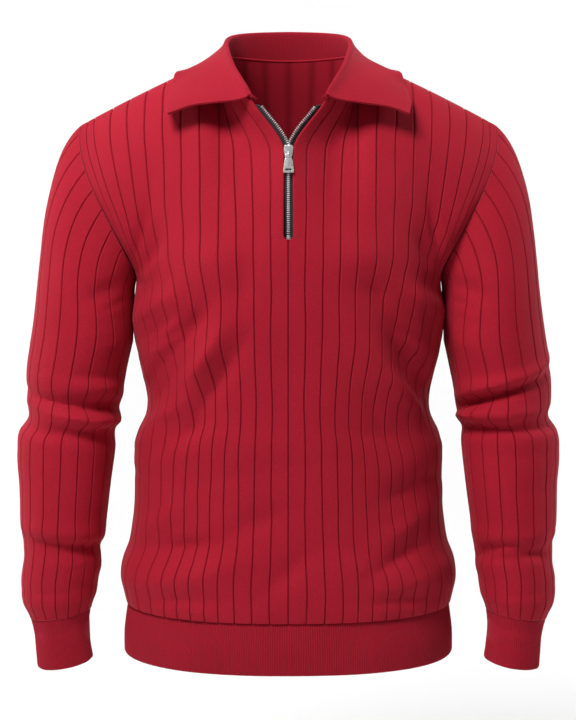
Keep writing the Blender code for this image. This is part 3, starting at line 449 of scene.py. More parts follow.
# main creases, then finer ones, that lie on the broad folds, in the same columns
frontCreases = [
    (-130, -378, 44, 42, 8, 6.0), (-88, -312, 58, 46, 8, 6.8), (-70, -332, 60, 70, 10, -6.4),
    (-108, -394, 34, 44, 9, -3.6), (-104, -280, 54, 36, 10, -6.8), (-132, -290, 62, 26, 7, 4.0),
    (-48, -240, 78, 52, 14, -4.2), (-118, -420, 30, 60, 18, 2.6), (126, -310, 117, 72, 11, -6.0),
    (122, -352, 126, 52, 10, 6.8), (140, -282, 122, 26, 7, 4.0), (104, -398, 172, 60, 11, -3.2),
    (96, -244, 150, 30, 12, -3.2), (-80, -212, 4, 52, 24, 5.0), (72, -206, 176, 56, 24, 4.8),
    (0, -200, 0, 130, 46, 4.2), (4, -322, 0, 60, 40, -3.4), (-150, -223, 52, 30, 7, 4.2),
    (-158, -182, 76, 42, 6, -5.0), (151, -221, 128, 30, 7, 4.0), (158, -180, 104, 42, 6, -4.8),
    (-136, -490, 38, 34, 10, 4.2), (-112, -516, 10, 54, 8, -4.2), (-40, -490, 22, 60, 12, -3.4),
    (-70, -536, 18, 80, 13, 3.4), (-6, -544, 40, 50, 11, -4.0), (126, -496, 30, 52, 11, 4.8),
    (116, -531, 25, 50, 9, -5.6), (128, -458, 20, 46, 10, -3.6), (116, -430, 8, 44, 14, 2.4),
    (124, -558, 14, 50, 8, 3.4), (-150, -350, 90, 46, 24, 3.0), (150, -350, 90, 46, 24, 3.0),
    (-168, -257, 90, 30, 12, 2.3), (168, -257, 90, 30, 12, 2.3), (-168, -231, 90, 13, 12, 0.8),
    (168, -231, 90, 13, 12, 0.8),
    (-146, -272, 38, 30, 3.6, -2.2), (-137, -296, 34, 34, 3.8, -2.4), (-150, -256, 46, 24, 3.2, 1.8),
    (-126, -282, 40, 26, 3.4, 1.5), (-118, -300, 52, 46, 5.0, -1.6), (-108, -330, 58, 64, 6.0, 1.3),
    (-136, -352, 60, 52, 5.0, -1.6), (-150, -330, 66, 40, 4.2, 1.4), (-96, -372, 66, 50, 6.0, -1.2),
    (147, -268, 144, 30, 3.6, -2.2), (138, -294, 148, 34, 3.8, -2.2), (150, -252, 136, 24, 3.2, 1.7),
    (128, -280, 140, 26, 3.4, 1.4), (117, -302, 128, 46, 5.0, -1.5), (106, -334, 122, 62, 6.0, 1.2),
    (137, -354, 120, 50, 5.0, -1.5), (150, -330, 114, 40, 4.2, 1.3), (94, -376, 116, 48, 6.0, -1.1),
    (-134, -576, 8, 34, 4.0, -1.8), (-104, -584, 4, 40, 3.4, 1.4), (-150, -560, 14, 30, 4.4, 1.7),
    (-52, -584, 178, 44, 3.6, -1.1), (6, -586, 2, 46, 3.4, 1.0), (58, -583, 2, 44, 3.6, -1.1),
    (136, -574, 172, 34, 4.0, -1.8), (106, -583, 176, 40, 3.4, 1.4), (151, -558, 166, 30, 4.4, 1.7),
    (-60, -438, 12, 70, 9.0, -0.9), (64, -452, 170, 74, 9.0, -0.8), (-20, -500, 4, 80, 10.0, 0.8),
    (-158, -412, 28, 30, 5.0, 1.4), (158, -414, 152, 30, 5.0, 1.3), (-162, -446, 18, 30, 6.0, -1.2),
    (162, -450, 162, 30, 6.0, -1.2), (-118, -128, 118, 40, 7.0, 0.8), (118, -126, 62, 40, 7.0, 0.8),
]
backCreases = [
    (-150, -350, 90, 46, 24, 3.0), (150, -350, 90, 46, 24, 3.0), (-168, -231, 90, 13, 12, 0.8),
    (168, -231, 90, 13, 12, 0.8),
    (-98, -318, 52, 70, 10, -3.2), (-80, -344, 46, 84, 13, 2.8), (98, -312, 128, 70, 10, -3.2),
    (82, -342, 134, 84, 13, 2.8), (-70, -528, 12, 80, 11, -2.4), (80, -522, 168, 76, 11, -2.4),
    (-100, -500, 14, 70, 13, 2.2), (108, -498, 166, 70, 13, 2.2), (-168, -257, 90, 30, 12, 1.9),
    (168, -257, 90, 30, 12, 2.3),
    (-140, -276, 40, 32, 3.8, -2.0), (-128, -300, 42, 38, 4.2, 1.5), (-104, -336, 56, 56, 6.0, -1.3),
    (141, -272, 140, 32, 3.8, -2.0), (129, -298, 138, 38, 4.2, 1.5), (103, -340, 124, 56, 6.0, -1.2),
    (-40, -388, 8, 60, 6.0, -1.5), (36, -404, 174, 64, 6.0, 1.4), (0, -418, 2, 70, 6.0, -1.3),
    (-112, -574, 6, 44, 4.2, -1.7), (-60, -584, 2, 46, 3.6, 1.2), (0, -580, 178, 50, 4.0, -1.1),
    (60, -585, 178, 46, 3.6, 1.2), (112, -572, 174, 44, 4.2, -1.6), (-150, -556, 12, 30, 4.4, 1.6),
    (150, -558, 168, 30, 4.4, 1.6), (-60, -480, 8, 76, 9.0, -0.9), (60, -498, 172, 76, 9.0, 0.9),
    (-70, -110, 92, 60, 9.0, 0.7), (72, -116, 88, 60, 9.0, 0.7),
]


def slitWidth(height):
    # the zip's opening closes in a half round at its foot
    part = np.clip(height / (zipCut["half"] * mm), 0, 1)
    return zipCut["half"] * mm * np.sqrt(np.maximum(1 - (1 - part) ** 2, 0))


def slitRow():
    low, high = 1.0, 1.6
    for _ in range(40):
        middle = (low + high) / 2
        z = panelFrame(-1, 1, np.array([0.0]), middle)[0][0, 2]
        low, high = (middle, high) if z < zipCut["endZ"] * mm else (low, middle)
    return low


slitV = slitRow()


def panelRows(side):
    rows = list(np.linspace(0, 1, panel["hemRows"])) + list(np.linspace(1, 2, panel["topRows"])[1:])
    if side < 0:
        rows = [v for v in rows if not slitV - 1e-3 < v < slitV + 0.03]
        rows += [slitV + d for d in panel["zipRows"]]
    return sorted(rows)


def panelSurface(side, half, shares, vs, seed):
    # points, outward directions and cloth shift of one half, before ribs are added
    rows = [panelFrame(side, half, drifted(shares, v), v) for v in vs]
    points, normal = np.array([r[0] for r in rows]), np.array([r[1] for r in rows])
    press, still = np.array([r[2] for r in rows]), np.array([r[3] for r in rows])
    coarse = foldShift(frontFolds if side < 0 else backFolds, points)
    fine = foldShift(frontCreases if side < 0 else backCreases, points)
    shift = (coarse + fine + swell(points, seed) * ease(0, 0.05, np.array(vs))[:, None]) * still
    tangent = unit(np.gradient(points, axis=1)) * half
    return points, normal, tangent, press, shift


def buildPanel(name, side, material, seed):
    mesh = Mesh()
    shares, away, which = ribColumns(cloth["panelRibs"], cloth["halfPanel"], False)
    ribs, wide = cloth["panelRibs"], cloth["halfPanel"] * mm
    few = np.arange(ribs * panel["innerPerRib"] + 1) / (ribs * panel["innerPerRib"])
    fewAway = np.abs(np.mod(few * ribs + 0.5, 1) - 0.5) * 9
    # painted shade on the inside of the cloth, stronger at each groove
    tone, more, reach = panel["inside"]
    insideShadeMask = tone + more * np.exp(-(fewAway / reach) ** 2)
    vs = panelRows(side)
    pitch = cloth["halfPanel"] / ribs
    for half in (-1, 1):
        points, normal, tangent, press, shift = panelSurface(side, half, shares, vs, seed)
        inPoints, inNormal, _, inPress, inShift = panelSurface(side, half, few, vs, seed)
        outer, inner, opened = [], [], []
        for k, v in enumerate(vs):
            along = np.interp(v, (0, 1, 2), panel["length"])
            isOpen = side < 0 and v > slitV + 1e-9
            beside = away.copy()
            if side < 0 and v >= slitV - 1e-9:
                beside[which == 0] = np.maximum(np.abs(beside[which == 0]), panel["noGroove"])
            relief = ribHeight(beside, pitch) * (1 - 0.5 * press[k])
            if isOpen:
                rolled = np.clip(1 - shares * cloth["halfPanel"] / panel["rolled"][0], 0, 1)
                relief = relief - panel["rolled"][1] * mm * rolled**2
            calm = np.where(which == 0, 0, 1) * ease(0, 0.02, 1 - shares)
            row = turnedOut(points[k], normal[k], tangent[k], shift[k] + relief,
                            wander(which * half, along, seed) * calm * np.exp(-(beside / 4) ** 2))
            inRow = inPoints[k] + inNormal[k] * (inShift[k] - cloth["wall"] * mm
                                                 * (1 - cloth["seamThin"] * inPress[k]))[:, None]
            if side < 0 and v >= slitV - 1e-9:
                room = slitWidth(inPoints[k][0, 2] - zipCut["endZ"] * mm) if isOpen else 0
                row[:, 0] += half * room * np.clip(1 - shares * ribs, 0, 1)
                inRow[:, 0] += half * room * np.clip(1 - few * ribs, 0, 1)
                isOpen = isOpen and room != 0
            if not isOpen:
                row[0, 0] = inRow[0, 0] = 0
            outer.append(mesh.row(row, flatUv(half * shares * wide, along), grooveShadeMask(beside)))
            inner.append(mesh.row(inRow, flatUv(half * few * wide, along), insideShadeMask))
            opened.append(isOpen)
        mesh.grid(outer)
        mesh.grid(inner)
        mesh.bridge(outer[0], shares, inner[0], few)
        mesh.bridge(outer[-1], shares, inner[-1], few)
        for k in range(len(vs) - 1):
            mesh.faces.append((outer[k][-1], outer[k + 1][-1], inner[k + 1][-1], inner[k][-1]))
            if opened[k + 1]:
                mesh.faces.append((outer[k][0], outer[k + 1][0], inner[k + 1][0], inner[k][0]))
    return mesh.build(name, material)

# materials


class Value:
    # a node socket that takes part in Python sums
    def __init__(self, tree, socket):
        self.tree, self.socket = tree, socket

    def math(self, operation, *others, flip=False):
        made = self.tree.tree.nodes.new("ShaderNodeMath")
        made.operation = operation
        order = list(others) + [self] if flip else [self] + list(others)
        for k, item in enumerate(order):
            self.tree.feed(made.inputs[k], item)
        return Value(self.tree, made.outputs[0])

    def __add__(self, other): return self.math("ADD", other)
    def __radd__(self, other): return self.math("ADD", other, flip=True)
    def __sub__(self, other): return self.math("SUBTRACT", other)
    def __rsub__(self, other): return self.math("SUBTRACT", other, flip=True)
    def __mul__(self, other): return self.math("MULTIPLY", other)
    def __rmul__(self, other): return self.math("MULTIPLY", other, flip=True)
    def __truediv__(self, other): return self.math("DIVIDE", other)
    def __pow__(self, other): return self.math("POWER", other)
    def sin(self): return self.math("SINE")
    def abs(self): return self.math("ABSOLUTE")
    def fract(self): return self.math("FRACT")
    def least(self, other): return self.math("MINIMUM", other)
    def most(self, other): return self.math("MAXIMUM", other)


class Finish:
    def __init__(self, name, colour, roughness, metallic=0.0, **fixed):
        self.material = bpy.data.materials.new(name)
        self.material.use_nodes = True
        self.material.diffuse_color = (*colour, 1)
        self.tree = self.material.node_tree
        self.shader = self.tree.nodes["Principled BSDF"]
        self.set("Base Color", (*colour, 1))
        self.set("Roughness", roughness)
        self.set("Metallic", metallic)
        for key, value in fixed.items():
            self.set(key.replace("_", " "), value)

    def set(self, name, value):
        self.feed(self.shader.inputs[name], value)

    def feed(self, socket, value):
        if isinstance(value, Value):
            self.tree.links.new(value.socket, socket)
        else:
            socket.default_value = value

    def node(self, kind, settings=None, inputs=None, output=0):
        made = self.tree.nodes.new(kind)
        for key, value in (settings or {}).items():
            setattr(made, key, value)
        for key, value in (inputs or {}).items():
            self.feed(made.inputs[key], value)
        return Value(self, made.outputs[output])

    def mix(self, factor, one, two):
        made = self.tree.nodes.new("ShaderNodeMix")
        made.data_type = "RGBA"
        self.feed(made.inputs[0], factor)
        self.feed(made.inputs[6], one)
        self.feed(made.inputs[7], two)
        return Value(self, made.outputs[2])

    def noise(self, place, scale, detail=2.0, rough=0.5):
        return self.node("ShaderNodeTexNoise", {"noise_dimensions": "3D"},
                         {"Vector": place, "Scale": scale, "Detail": detail, "Roughness": rough})

    def object(self):
        return self.node("ShaderNodeTexCoord", output="Object")

    def uv(self):
        return self.node("ShaderNodeUVMap", {"uv_map": "UVMap"})

    def parts(self, vector):
        made = self.tree.nodes.new("ShaderNodeSeparateXYZ")
        self.feed(made.inputs[0], vector)
        return [Value(self, made.outputs[k]) for k in range(3)]

    def bump(self, height, distance):
        return self.node("ShaderNodeBump", None, {"Height": height, "Distance": distance, "Strength": 1.0})


knitLook = {
    "red": (0.45, 0.0105, 0.028), "fineRed": (0.40, 0.0100, 0.027),  # the body, and the cuffs, band and collar
    # deep is the darker heather and also the colour of the painted shade
    "deep": (0.20, 0.0035, 0.010), "light": (0.56, 0.018, 0.042),
    "wale": 1.35, "course": 1.0,  # mm, one stitch
    "relief": 0.16,  # mm
    "sheen": 0.14, "sheenRoughness": 0.45, "sheenTint": (1.0, 0.20, 0.26, 1),
}


def knitFinish(name, red):
    look = knitLook
    deep, light = (*look["deep"], 1), (*look["light"], 1)
    made = Finish(name, red, 0.82, Sheen_Weight=look["sheen"], Sheen_Roughness=look["sheenRoughness"],
                  Sheen_Tint=look["sheenTint"], Specular_IOR_Level=0.12)
    across, along, _ = made.parts(made.uv())
    place = made.object()
    broad = made.noise(place, 14.0, 3.0)
    heather = made.noise(place, 900.0, 2.0, 0.6)
    fibre = made.noise(place, 2600.0, 1.0)
    wale = (across * (1000 / look["wale"])).fract()
    lean = (wale - 0.5).abs()
    row = ((along * (1000 / look["course"])) + lean * 0.9).fract()
    loop = (lean * (2 * math.pi)).sin().abs() * 0.65 + (row * math.pi).sin() * 0.5
    # painted shade from the "groove" attribute: along the rib grooves, on the inside of the cloth and on the
    # collar's stand
    groove = made.node("ShaderNodeAttribute", {"attribute_name": "groove"}, output="Fac")
    colour = made.mix((broad - 0.5) * 0.9 + 0.35, (*red, 1), light)
    colour = made.mix(((broad - 0.35) * 0.25).most(0.0), colour, light)
    colour = made.mix(((0.62 - heather) * 1.1).most(0.0).least(0.35), colour, deep)
    colour = made.mix(((heather - 0.56) * 1.6).most(0.0).least(0.28), colour, light)
    colour = made.mix((1 - loop) * 0.16, colour, deep)
    colour = made.mix((groove * 0.85).least(0.85), colour, deep)
    made.set("Base Color", colour)
    made.set("Roughness", 0.78 + (fibre - 0.5) * 0.16)
    made.set("Normal", made.bump(loop * 0.7 + fibre * 0.5 + heather * 0.3, look["relief"] * mm))
    return made.material


# sleeves

sleeve = {"capRows": 62, "armRows": 86}
leftCreases = [
    (0.32, -349, -18, 0.30, 8, 4.2), (0.36, -369, -13, 0.28, 6, -5.6), (0.28, -386, -8, 0.26, 6, 2.6),
    (0.36, -399, -6, 0.26, 6, -4.2), (0.38, -178, -120, 0.10, 18, -6.0), (0.33, -190, -110, 0.08, 14, 3.0),
    (0.43, -205, -110, 0.08, 14, -5.0), (0.30, -511, -8, 0.30, 9, 3.2), (0.34, -527, -8, 0.30, 6, -4.4),
    (0.30, -592, 2, 0.34, 7, 1.8), (0.50, -262, 0, 0.10, 18, 2.2), (0.36, -302, 24, 0.14, 12, 1.8),
    (0.14, -333, -12, 0.12, 3.0, -1.5), (0.28, -371, -14, 0.34, 3.2, -2.3), (0.26, -387, -12, 0.34, 3.0, -2.0),
    (0.41, -350, 8, 0.12, 4.0, 1.5), (0.43, -379, -6, 0.12, 4.0, 1.5), (0.40, -402, -4, 0.13, 4.5, 1.2),
    (0.28, -523, -7, 0.34, 3.2, -1.9), (0.34, -545, 5, 0.26, 4.0, 1.3), (0.22, -577, 4, 0.30, 4.0, -1.2),
    (0.37, -262, 26, 0.12, 5.0, -1.4), (0.31, -292, 20, 0.16, 6.0, 1.0), (0.20, -455, 6, 0.26, 7.0, -0.8),
    (0.70, -372, 12, 0.30, 4.0, -2.0), (0.73, -394, -6, 0.30, 4.0, 1.5), (0.76, -530, 5, 0.30, 4.0, -1.7),
    (0.65, -262, -26, 0.12, 5.0, -1.3), (0.78, -440, 4, 0.26, 7.0, 0.8), (0.30, -592, 0, 0.34, 3.2, -1.0),
]
rightCreases = [
    (0.28, -347, -24, 0.30, 8, 4.2), (0.33, -362, -26, 0.28, 6, -5.6), (0.30, -380, -4, 0.26, 6, 2.6),
    (0.36, -396, -6, 0.26, 6, -4.2), (0.38, -176, -120, 0.10, 18, -5.6), (0.33, -190, -110, 0.08, 14, 2.8),
    (0.43, -203, -110, 0.08, 14, -4.8), (0.28, -515, 0, 0.30, 9, 3.2), (0.38, -533, -26, 0.16, 6, -4.4),
    (0.20, -532, 22, 0.14, 6, -3.2), (0.30, -592, 2, 0.34, 7, 1.8), (0.50, -262, 0, 0.10, 18, 2.2),
    (0.36, -300, 24, 0.14, 12, 1.8),
    (0.30, -361, -26, 0.34, 3.2, -2.0), (0.24, -397, -6, 0.34, 3.0, -1.9),
    (0.42, -350, -14, 0.12, 4.0, 1.4), (0.43, -384, -4, 0.12, 4.0, 1.4), (0.25, -425, 0, 0.30, 5.0, -1.0),
    (0.24, -521, -12, 0.34, 3.2, -1.9), (0.36, -546, -5, 0.26, 4.0, 1.3), (0.22, -577, -5, 0.30, 4.0, -1.2),
    (0.37, -260, 26, 0.12, 5.0, -1.4), (0.31, -290, 20, 0.16, 6.0, 1.0), (0.20, -462, -6, 0.26, 7.0, -0.8),
    (0.70, -378, -12, 0.30, 4.0, -2.0), (0.73, -398, 6, 0.30, 4.0, 1.5), (0.76, -534, -5, 0.30, 4.0, -1.7),
    (0.65, -260, -26, 0.12, 5.0, -1.3), (0.78, -446, -4, 0.26, 7.0, 0.8), (0.30, -592, 0, 0.34, 3.2, -1.0),
]


def buildSleeve(name, side, material, seed):
    mesh = Mesh()
    turns, away, which = ribColumns(cloth["sleeveRibs"], cloth["sleeveGirth"], True)
    few = np.arange(cloth["sleeveRibs"] * 3) / (cloth["sleeveRibs"] * 3)
    vs = list(np.linspace(0.0, 1, sleeve["capRows"])) + list(np.linspace(1, 2, sleeve["armRows"])[1:])
    pitch = cloth["sleeveGirth"] / cloth["sleeveRibs"]
    folds, creases = (leftFolds, leftCreases) if side < 0 else (rightFolds, rightCreases)

    def shifts(points, at, v):
        keep = ease(0, 0.5, v) * (1 - ease(1.93, 2.0, v))
        shift = sum(sleeveShift(table, np.mod(at, 1.0), points[:, 2]) for table in (folds, creases))
        return (shift + swell(points, seed)) * keep

    wide = cloth["sleeveGirth"] * mm
    outer, inner, along, last = [], [], 0.0, None
    for v in vs:
        points, normal = sleeveFrame(turns, v)
        inPoints, inNormal = sleeveFrame(few, v)
        if last is not None:
            along -= float(np.mean(np.linalg.norm(points - last, axis=1)))
        last = points
        thin = 1 - cloth["seamThin"] * (1 - ease(0, 0.12, v))
        tangent = unit(np.roll(points, -1, axis=0) - np.roll(points, 1, axis=0))
        relief = ribHeight(away, pitch) * thin * (1 - 0.35 * ease(1.96, 2.0, v))
        row = turnedOut(points, normal, tangent, shifts(points, turns, v) + relief,
                        wander(which, along, seed) * np.exp(-(away / 4) ** 2) * ease(0, 0.1, v))
        inRow = inPoints + inNormal * (shifts(inPoints, few, v) - cloth["wall"] * mm * thin)[:, None]
        if side > 0:
            row[:, 0] *= -1
            inRow[:, 0] *= -1
        outer.append(mesh.ring(row, flatUv(turns * wide, along), grooveShadeMask(away)))
        inner.append(mesh.ring(inRow, flatUv(few * wide, along)))
    mesh.grid(outer)
    mesh.grid(inner)
    for k in (0, -1):
        mesh.bridge(outer[k], np.append(turns, turns[0] + 1), inner[k], np.append(few, few[0] + 1))
    return mesh.build(name, material)


# fine-rib cuffs and hem band: rings of points by height, the ribs raised in them

fineRib = {"height": 0.26, "columns": 6, "bottomRows": 8}  # mm, points across each rib, rows down


def buildFineTube(name, ringAt, count, fewCount, top, bottom, material, girth, wavy):
    # ringAt(turns, z) gives points and outward directions
    mesh = Mesh()
    columns = np.arange(count * fineRib["columns"])
    turns, wave = columns / len(columns), np.cos(2 * math.pi * columns / fineRib["columns"])
    few = np.arange(fewCount) / fewCount
    wall = cloth["wall"]
    heights = [(top, 1.0), (top - 0.5, 0.35), (top - 1.4, 0.0)]
    heights += [(z, 0.0) for z in np.linspace(top - 3.5, bottom + 3.5, fineRib["bottomRows"])]
    heights += [(bottom + 1.5, 0.0), (bottom + 0.5, 0.3), (bottom, 0.95)]
    outer, inner = [], []
    for z, inset in heights:
        points, normal = ringAt(turns, z * mm)
        share = (top - z) / (top - bottom)
        strength = 0.35 + 0.65 * ease(0.0, 0.08, share) * (1 - 0.6 * ease(0.93, 1.0, share))
        lift = wave * fineRib["height"] * strength - fineRib["height"] - inset
        lift = lift + wavy * np.sin(turns * 2 * math.pi * 5 + share * 2.2) * 0.5
        lift = lift + wavy * np.sin(turns * 2 * math.pi * 11 + 1.3 - share * 3) * 0.25
        row = points + normal * (lift * mm)[:, None]
        # painted shade in the grooves between the fine ribs
        groove = np.clip(0.5 - 0.5 * wave, 0, 1) * 0.45
        outer.append(mesh.ring(row, flatUv(turns * girth, z * mm), groove))
    for z, inset in [(top, wall - 1.0), (top - 0.6, wall), (bottom + 0.6, wall), (bottom, wall - 0.9)]:
        points, normal = ringAt(few, z * mm)
        inner.append(mesh.ring(points - normal * inset * mm, flatUv(few * girth, z * mm)))
    mesh.grid(outer)
    mesh.grid(inner)
    for k in (0, -1):
        mesh.bridge(outer[k], np.append(turns, 1.0), inner[k], np.append(few, 1.0))
    return mesh.build(name, material, merge=1e-8)


def cuffRing(side):
    def ringAt(turns, z):
        points = sleeveSection(turns, z)
        across = sleeveSection(turns + 0.004, z) - sleeveSection(turns - 0.004, z)
        down = sleeveSection(turns, z - mm) - sleeveSection(turns, z + mm)
        normal = unit(np.cross(down, across))
        if side > 0:
            points[:, 0] *= -1
            normal[:, 0] *= -1
        return points, normal
    return ringAt


def bandRing(turns, z):
    turns = np.mod(turns, 1.0)
    front = turns < 0.5
    u = np.clip(np.where(front, turns * 4 - 1, 3 - turns * 4), -1, 1)
    ring = np.where(front[:, None], bodyRing(-1, u, z, bandSections), bodyRing(1, u, z, bandSections))
    return ring, unit(ring * (1, 1, 0))


# the collar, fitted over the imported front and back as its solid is

collar = {
    "wall": 2.4, "lift": 2.0, "fold": 2.3,  # mm
    "firstLeaf": 6,  # the first point of a section that lies on the body
    "stations": (0, 0.05, 0.1, 0.17, 0.25, 0.33, 0.41, 0.5, 0.59, 0.68, 0.76, 0.84, 0.92, 1.0),
    "ribs": 172, "columns": 4, "rows": 34,
    "standRib": 0.20, "leafRib": 0.05,  # mm
}


def neckSeam(shares):
    us = np.linspace(0, cut["neckRibs"] / cloth["panelRibs"], 60)
    seam = np.vstack([topEdge(-1, us), topEdge(1, us)[-2::-1]])
    return even(seam * (-1, 1, 1), shares)


def collarLine(shares, first):
    table = np.array(collarSections, float)
    return np.stack([smooth(shares, table[:, 0], table[:, first + k]) * mm for k in range(3)], axis=-1)


def collarProfile(base, fold, leaf):
    up, wall, turn = np.array([0.0, 0.0, 1.0]), collar["wall"] * mm, collar["fold"] * mm
    out = unit((leaf - fold) * (1, 1, 0))
    centre = fold - up * turn
    first = base + up * (wall * 0.5 + 2 * cloth["seam"] * mm) - out * wall * 0.5
    points = [first, first + (centre - out * turn - first) * 0.55]
    for angle in (180, 120, 60, 10):
        a = math.radians(angle)
        points.append(centre + out * turn * math.cos(a) + up * turn * math.sin(a))
    start = points[-1]
    fall = np.linalg.norm(leaf - start)
    second = start + (out * 0.35 - up * 0.2) * fall * 0.5
    third = leaf + up * fall * 0.16 - out * fall * 0.25
    return points + [bezier(start, second, third, leaf, np.array([t]))[0] for t in (0.2, 0.45, 0.72, 1.0)]


def clothTree(objects):
    points, faces = [], []
    for item in objects:
        first = len(points)
        points += [v.co.copy() for v in item.data.vertices]
        faces += [tuple(first + i for i in p.vertices) for p in item.data.polygons]
    return BVHTree.FromPolygons(points, faces)


def liftOff(tree, point, least):
    for _ in range(4):
        near, normal, _, distance = tree.find_nearest(Vector(point))
        away = Vector(point) - near
        outside = away.dot(normal) >= 0
        if outside and distance >= least:
            break
        push = away.normalized() if outside and distance > 1e-6 else normal
        point = np.array(near + push * (least * 1.02))
    return point


def liftBetween(tree, one, i, two, j, least):
    middle = (one[i] + two[j]) / 2
    lift = liftOff(tree, middle, least) - middle
    one[i], two[j] = one[i] + lift, two[j] + lift


def collarCentre(tree):
    shares = np.array(collar["stations"])
    base, fold, leaf = neckSeam(shares), collarLine(shares, 1), collarLine(shares, 4)
    left = [collarProfile(*three) for three in zip(base, fold, leaf)]
    sections = left + [[p * (-1, 1, 1) for p in section] for section in left[-2::-1]]
    least, first = (collar["wall"] / 2 + collar["lift"]) * mm, collar["firstLeaf"]
    last = len(sections[0]) - 1
    for _ in range(4):
        for k in range(first, last + 1):
            for section in sections:
                section[k] = liftOff(tree, section[k], least)
            for one, two in zip(sections, sections[1:]):
                liftBetween(tree, one, k, two, k, least)
        for section in sections:
            for k in range(first, last):
                liftBetween(tree, section, k, section, k + 1, least)
    return np.array(sections)


def finer(grid, axis, at):
    # a soft curve through the grid's points along one axis
    grid = np.moveaxis(grid, axis, 0)
    known = np.arange(len(grid), dtype=float)
    flat = grid.reshape(len(grid), -1)
    made = np.stack([smooth(at, known, flat[:, k]) for k in range(flat.shape[1])], axis=1)
    return np.moveaxis(made.reshape((len(at),) + grid.shape[1:]), 0, axis)


def buildCollar(tree, material):
    centre = collarCentre(tree)
    count, steps = centre.shape[:2]
    leaf = slice(collar["firstLeaf"], collar["firstLeaf"] + 3)
    for _ in range(2):  # the fit pushes single points, so its result is evened out
        centre[1:-1, leaf] = (centre[:-2, leaf] + 2 * centre[1:-1, leaf] + centre[2:, leaf]) / 4
    columns = collar["ribs"] * collar["columns"] + 1
    girth = np.concatenate([[0], np.cumsum(np.linalg.norm(np.diff(centre[:, 7], axis=0), axis=1))])
    alongAt = np.interp(np.linspace(0, girth[-1], columns), girth, np.arange(count))
    inner = np.linspace(0, 5, 15)[:-1]
    outer = np.linspace(5, steps - 1.06, collar["rows"] - 16)
    rowsAt = np.concatenate([inner, outer, [steps - 1.02, steps - 1.0]])
    dense = finer(finer(centre, 0, alongAt), 1, rowsAt)
    lengths = np.linalg.norm(np.diff(dense, axis=1), axis=2).mean(axis=0)
    down = np.concatenate([[0], np.cumsum(lengths)])
    normal = unit(np.cross(np.gradient(dense, axis=0), np.gradient(dense, axis=1)))
    wave = np.cos(2 * math.pi * np.arange(columns) / collar["columns"])
    fold = ease(2.0, 4.5, rowsAt)
    amount = (collar["standRib"] * (1 - fold) + collar["leafRib"] * fold) * mm
    rim = 0.25 * mm * np.exp(-((down[-1] - down) / (2.2 * mm)) ** 2)
    x, z = dense[..., 0], dense[..., 2]
    soft = (np.sin(x / 0.021 + z / 0.03 + 0.7) * 0.35 + np.sin(x / 0.011 - z / 0.017) * 0.15) * mm
    soft = soft * ease(4, 6, rowsAt) * (1 - ease(steps - 1.6, steps - 1, rowsAt))
    relief = wave[:, None] * amount + rim
    half = collar["wall"] / 2 * mm
    thin = np.ones(len(rowsAt))
    thin[-1], thin[-2], thin[0] = 0.55, 0.9, 0.6
    top = dense + normal * ((half + relief) * thin + soft)[..., None]
    under = dense - normal * ((half + relief * 0.7) * thin - soft)[..., None]
    mesh, rows = Mesh(), []
    for k in range(columns):
        points = np.vstack([top[k], under[k][::-1]])
        across = np.full(2 * len(down), girth[-1] * k / (columns - 1))
        uv = np.stack([across, np.append(down, down[::-1])], -1)
        # painted shade: along each rib's groove, less on the leaf, and on the stand beside the neck seam
        mask = (0.5 - 0.5 * wave[k]) * 0.35 * (1 - 0.75 * fold) + 0.42 * (1 - ease(0.8, 3.2, rowsAt))
        rows.append(mesh.ring(points, uv, np.append(mask, mask[::-1])))
    mesh.grid(rows)
    per = len(down)
    for row in (rows[0], rows[-1]):
        for k in range(per - 1):
            mesh.faces.append((row[k], row[k + 1], row[2 * per - 2 - k], row[2 * per - 1 - k]))
    return mesh.build("collar_cloth", material, merge=1e-9)


# the zip

zipLook = {
    "pitch": 2.2, "tooth": (2.5, 2.3, 0.98),  # mm
    "plate": (8.8, 2.0, 13.5), "teethRoom": 1.3, "backWidth": 6.0, "waist": 3.0,
    "bail": 2.9, "bailWire": (0.95, 0.72), "hingeDrop": -3.4, "hingeOut": 1.0,
    "tabTop": 7.6, "tabWidth": 11.2, "tabWall": 1.5, "tabReach": 18.6, "tabNeck": 4.7,
    "hole": (0.65, 3.95, 1.25), "slot": (7.2, 2.7), "slotFoot": 1.6,
}


def slitEdge(side, v, drop, share=0.0):
    points, normal, _, still = panelFrame(-1, side, np.array([share]), v)
    point = (points + normal * (foldShift(frontFolds, points) * still - drop)[:, None])[0]
    point[0] += side * zipCut["half"] * mm * max(1 - share * cloth["panelRibs"], 0)
    return point


def tapeRow(side, v):
    middle = (cloth["wall"] + zipCut["tapeGap"] + zipCut["tapeWall"] / 2) * mm
    point, outer = slitEdge(side, v, middle), slitEdge(side, v, middle, zipCut["tapeShare"])
    along = unit(slitEdge(side, min(v + 0.01, 2), middle) - slitEdge(side, max(v - 0.01, 0), middle))
    across = point - outer
    across = unit(across - along * np.dot(across, along))
    out = np.cross(along, across) * -side
    inner = point + across * (zipCut["half"] - zipCut["tapeMiddle"]) * mm
    inner[0] = side * max(side * inner[0], zipCut["tapeMiddle"] * mm)
    return inner, outer, out


def zipPlace():
    low, high = 1.2, 1.95
    for _ in range(40):
        middle = (low + high) / 2
        low, high = (middle, high) if tapeRow(1, middle)[0][2] < zipCut["sliderZ"] * mm else (low, middle)
    rise = tapeRow(1, low + 0.03)[0] - tapeRow(1, low - 0.03)[0]
    return Vector((0, tapeRow(1, low)[0][1], zipCut["sliderZ"] * mm)), math.atan2(rise[1], rise[2])


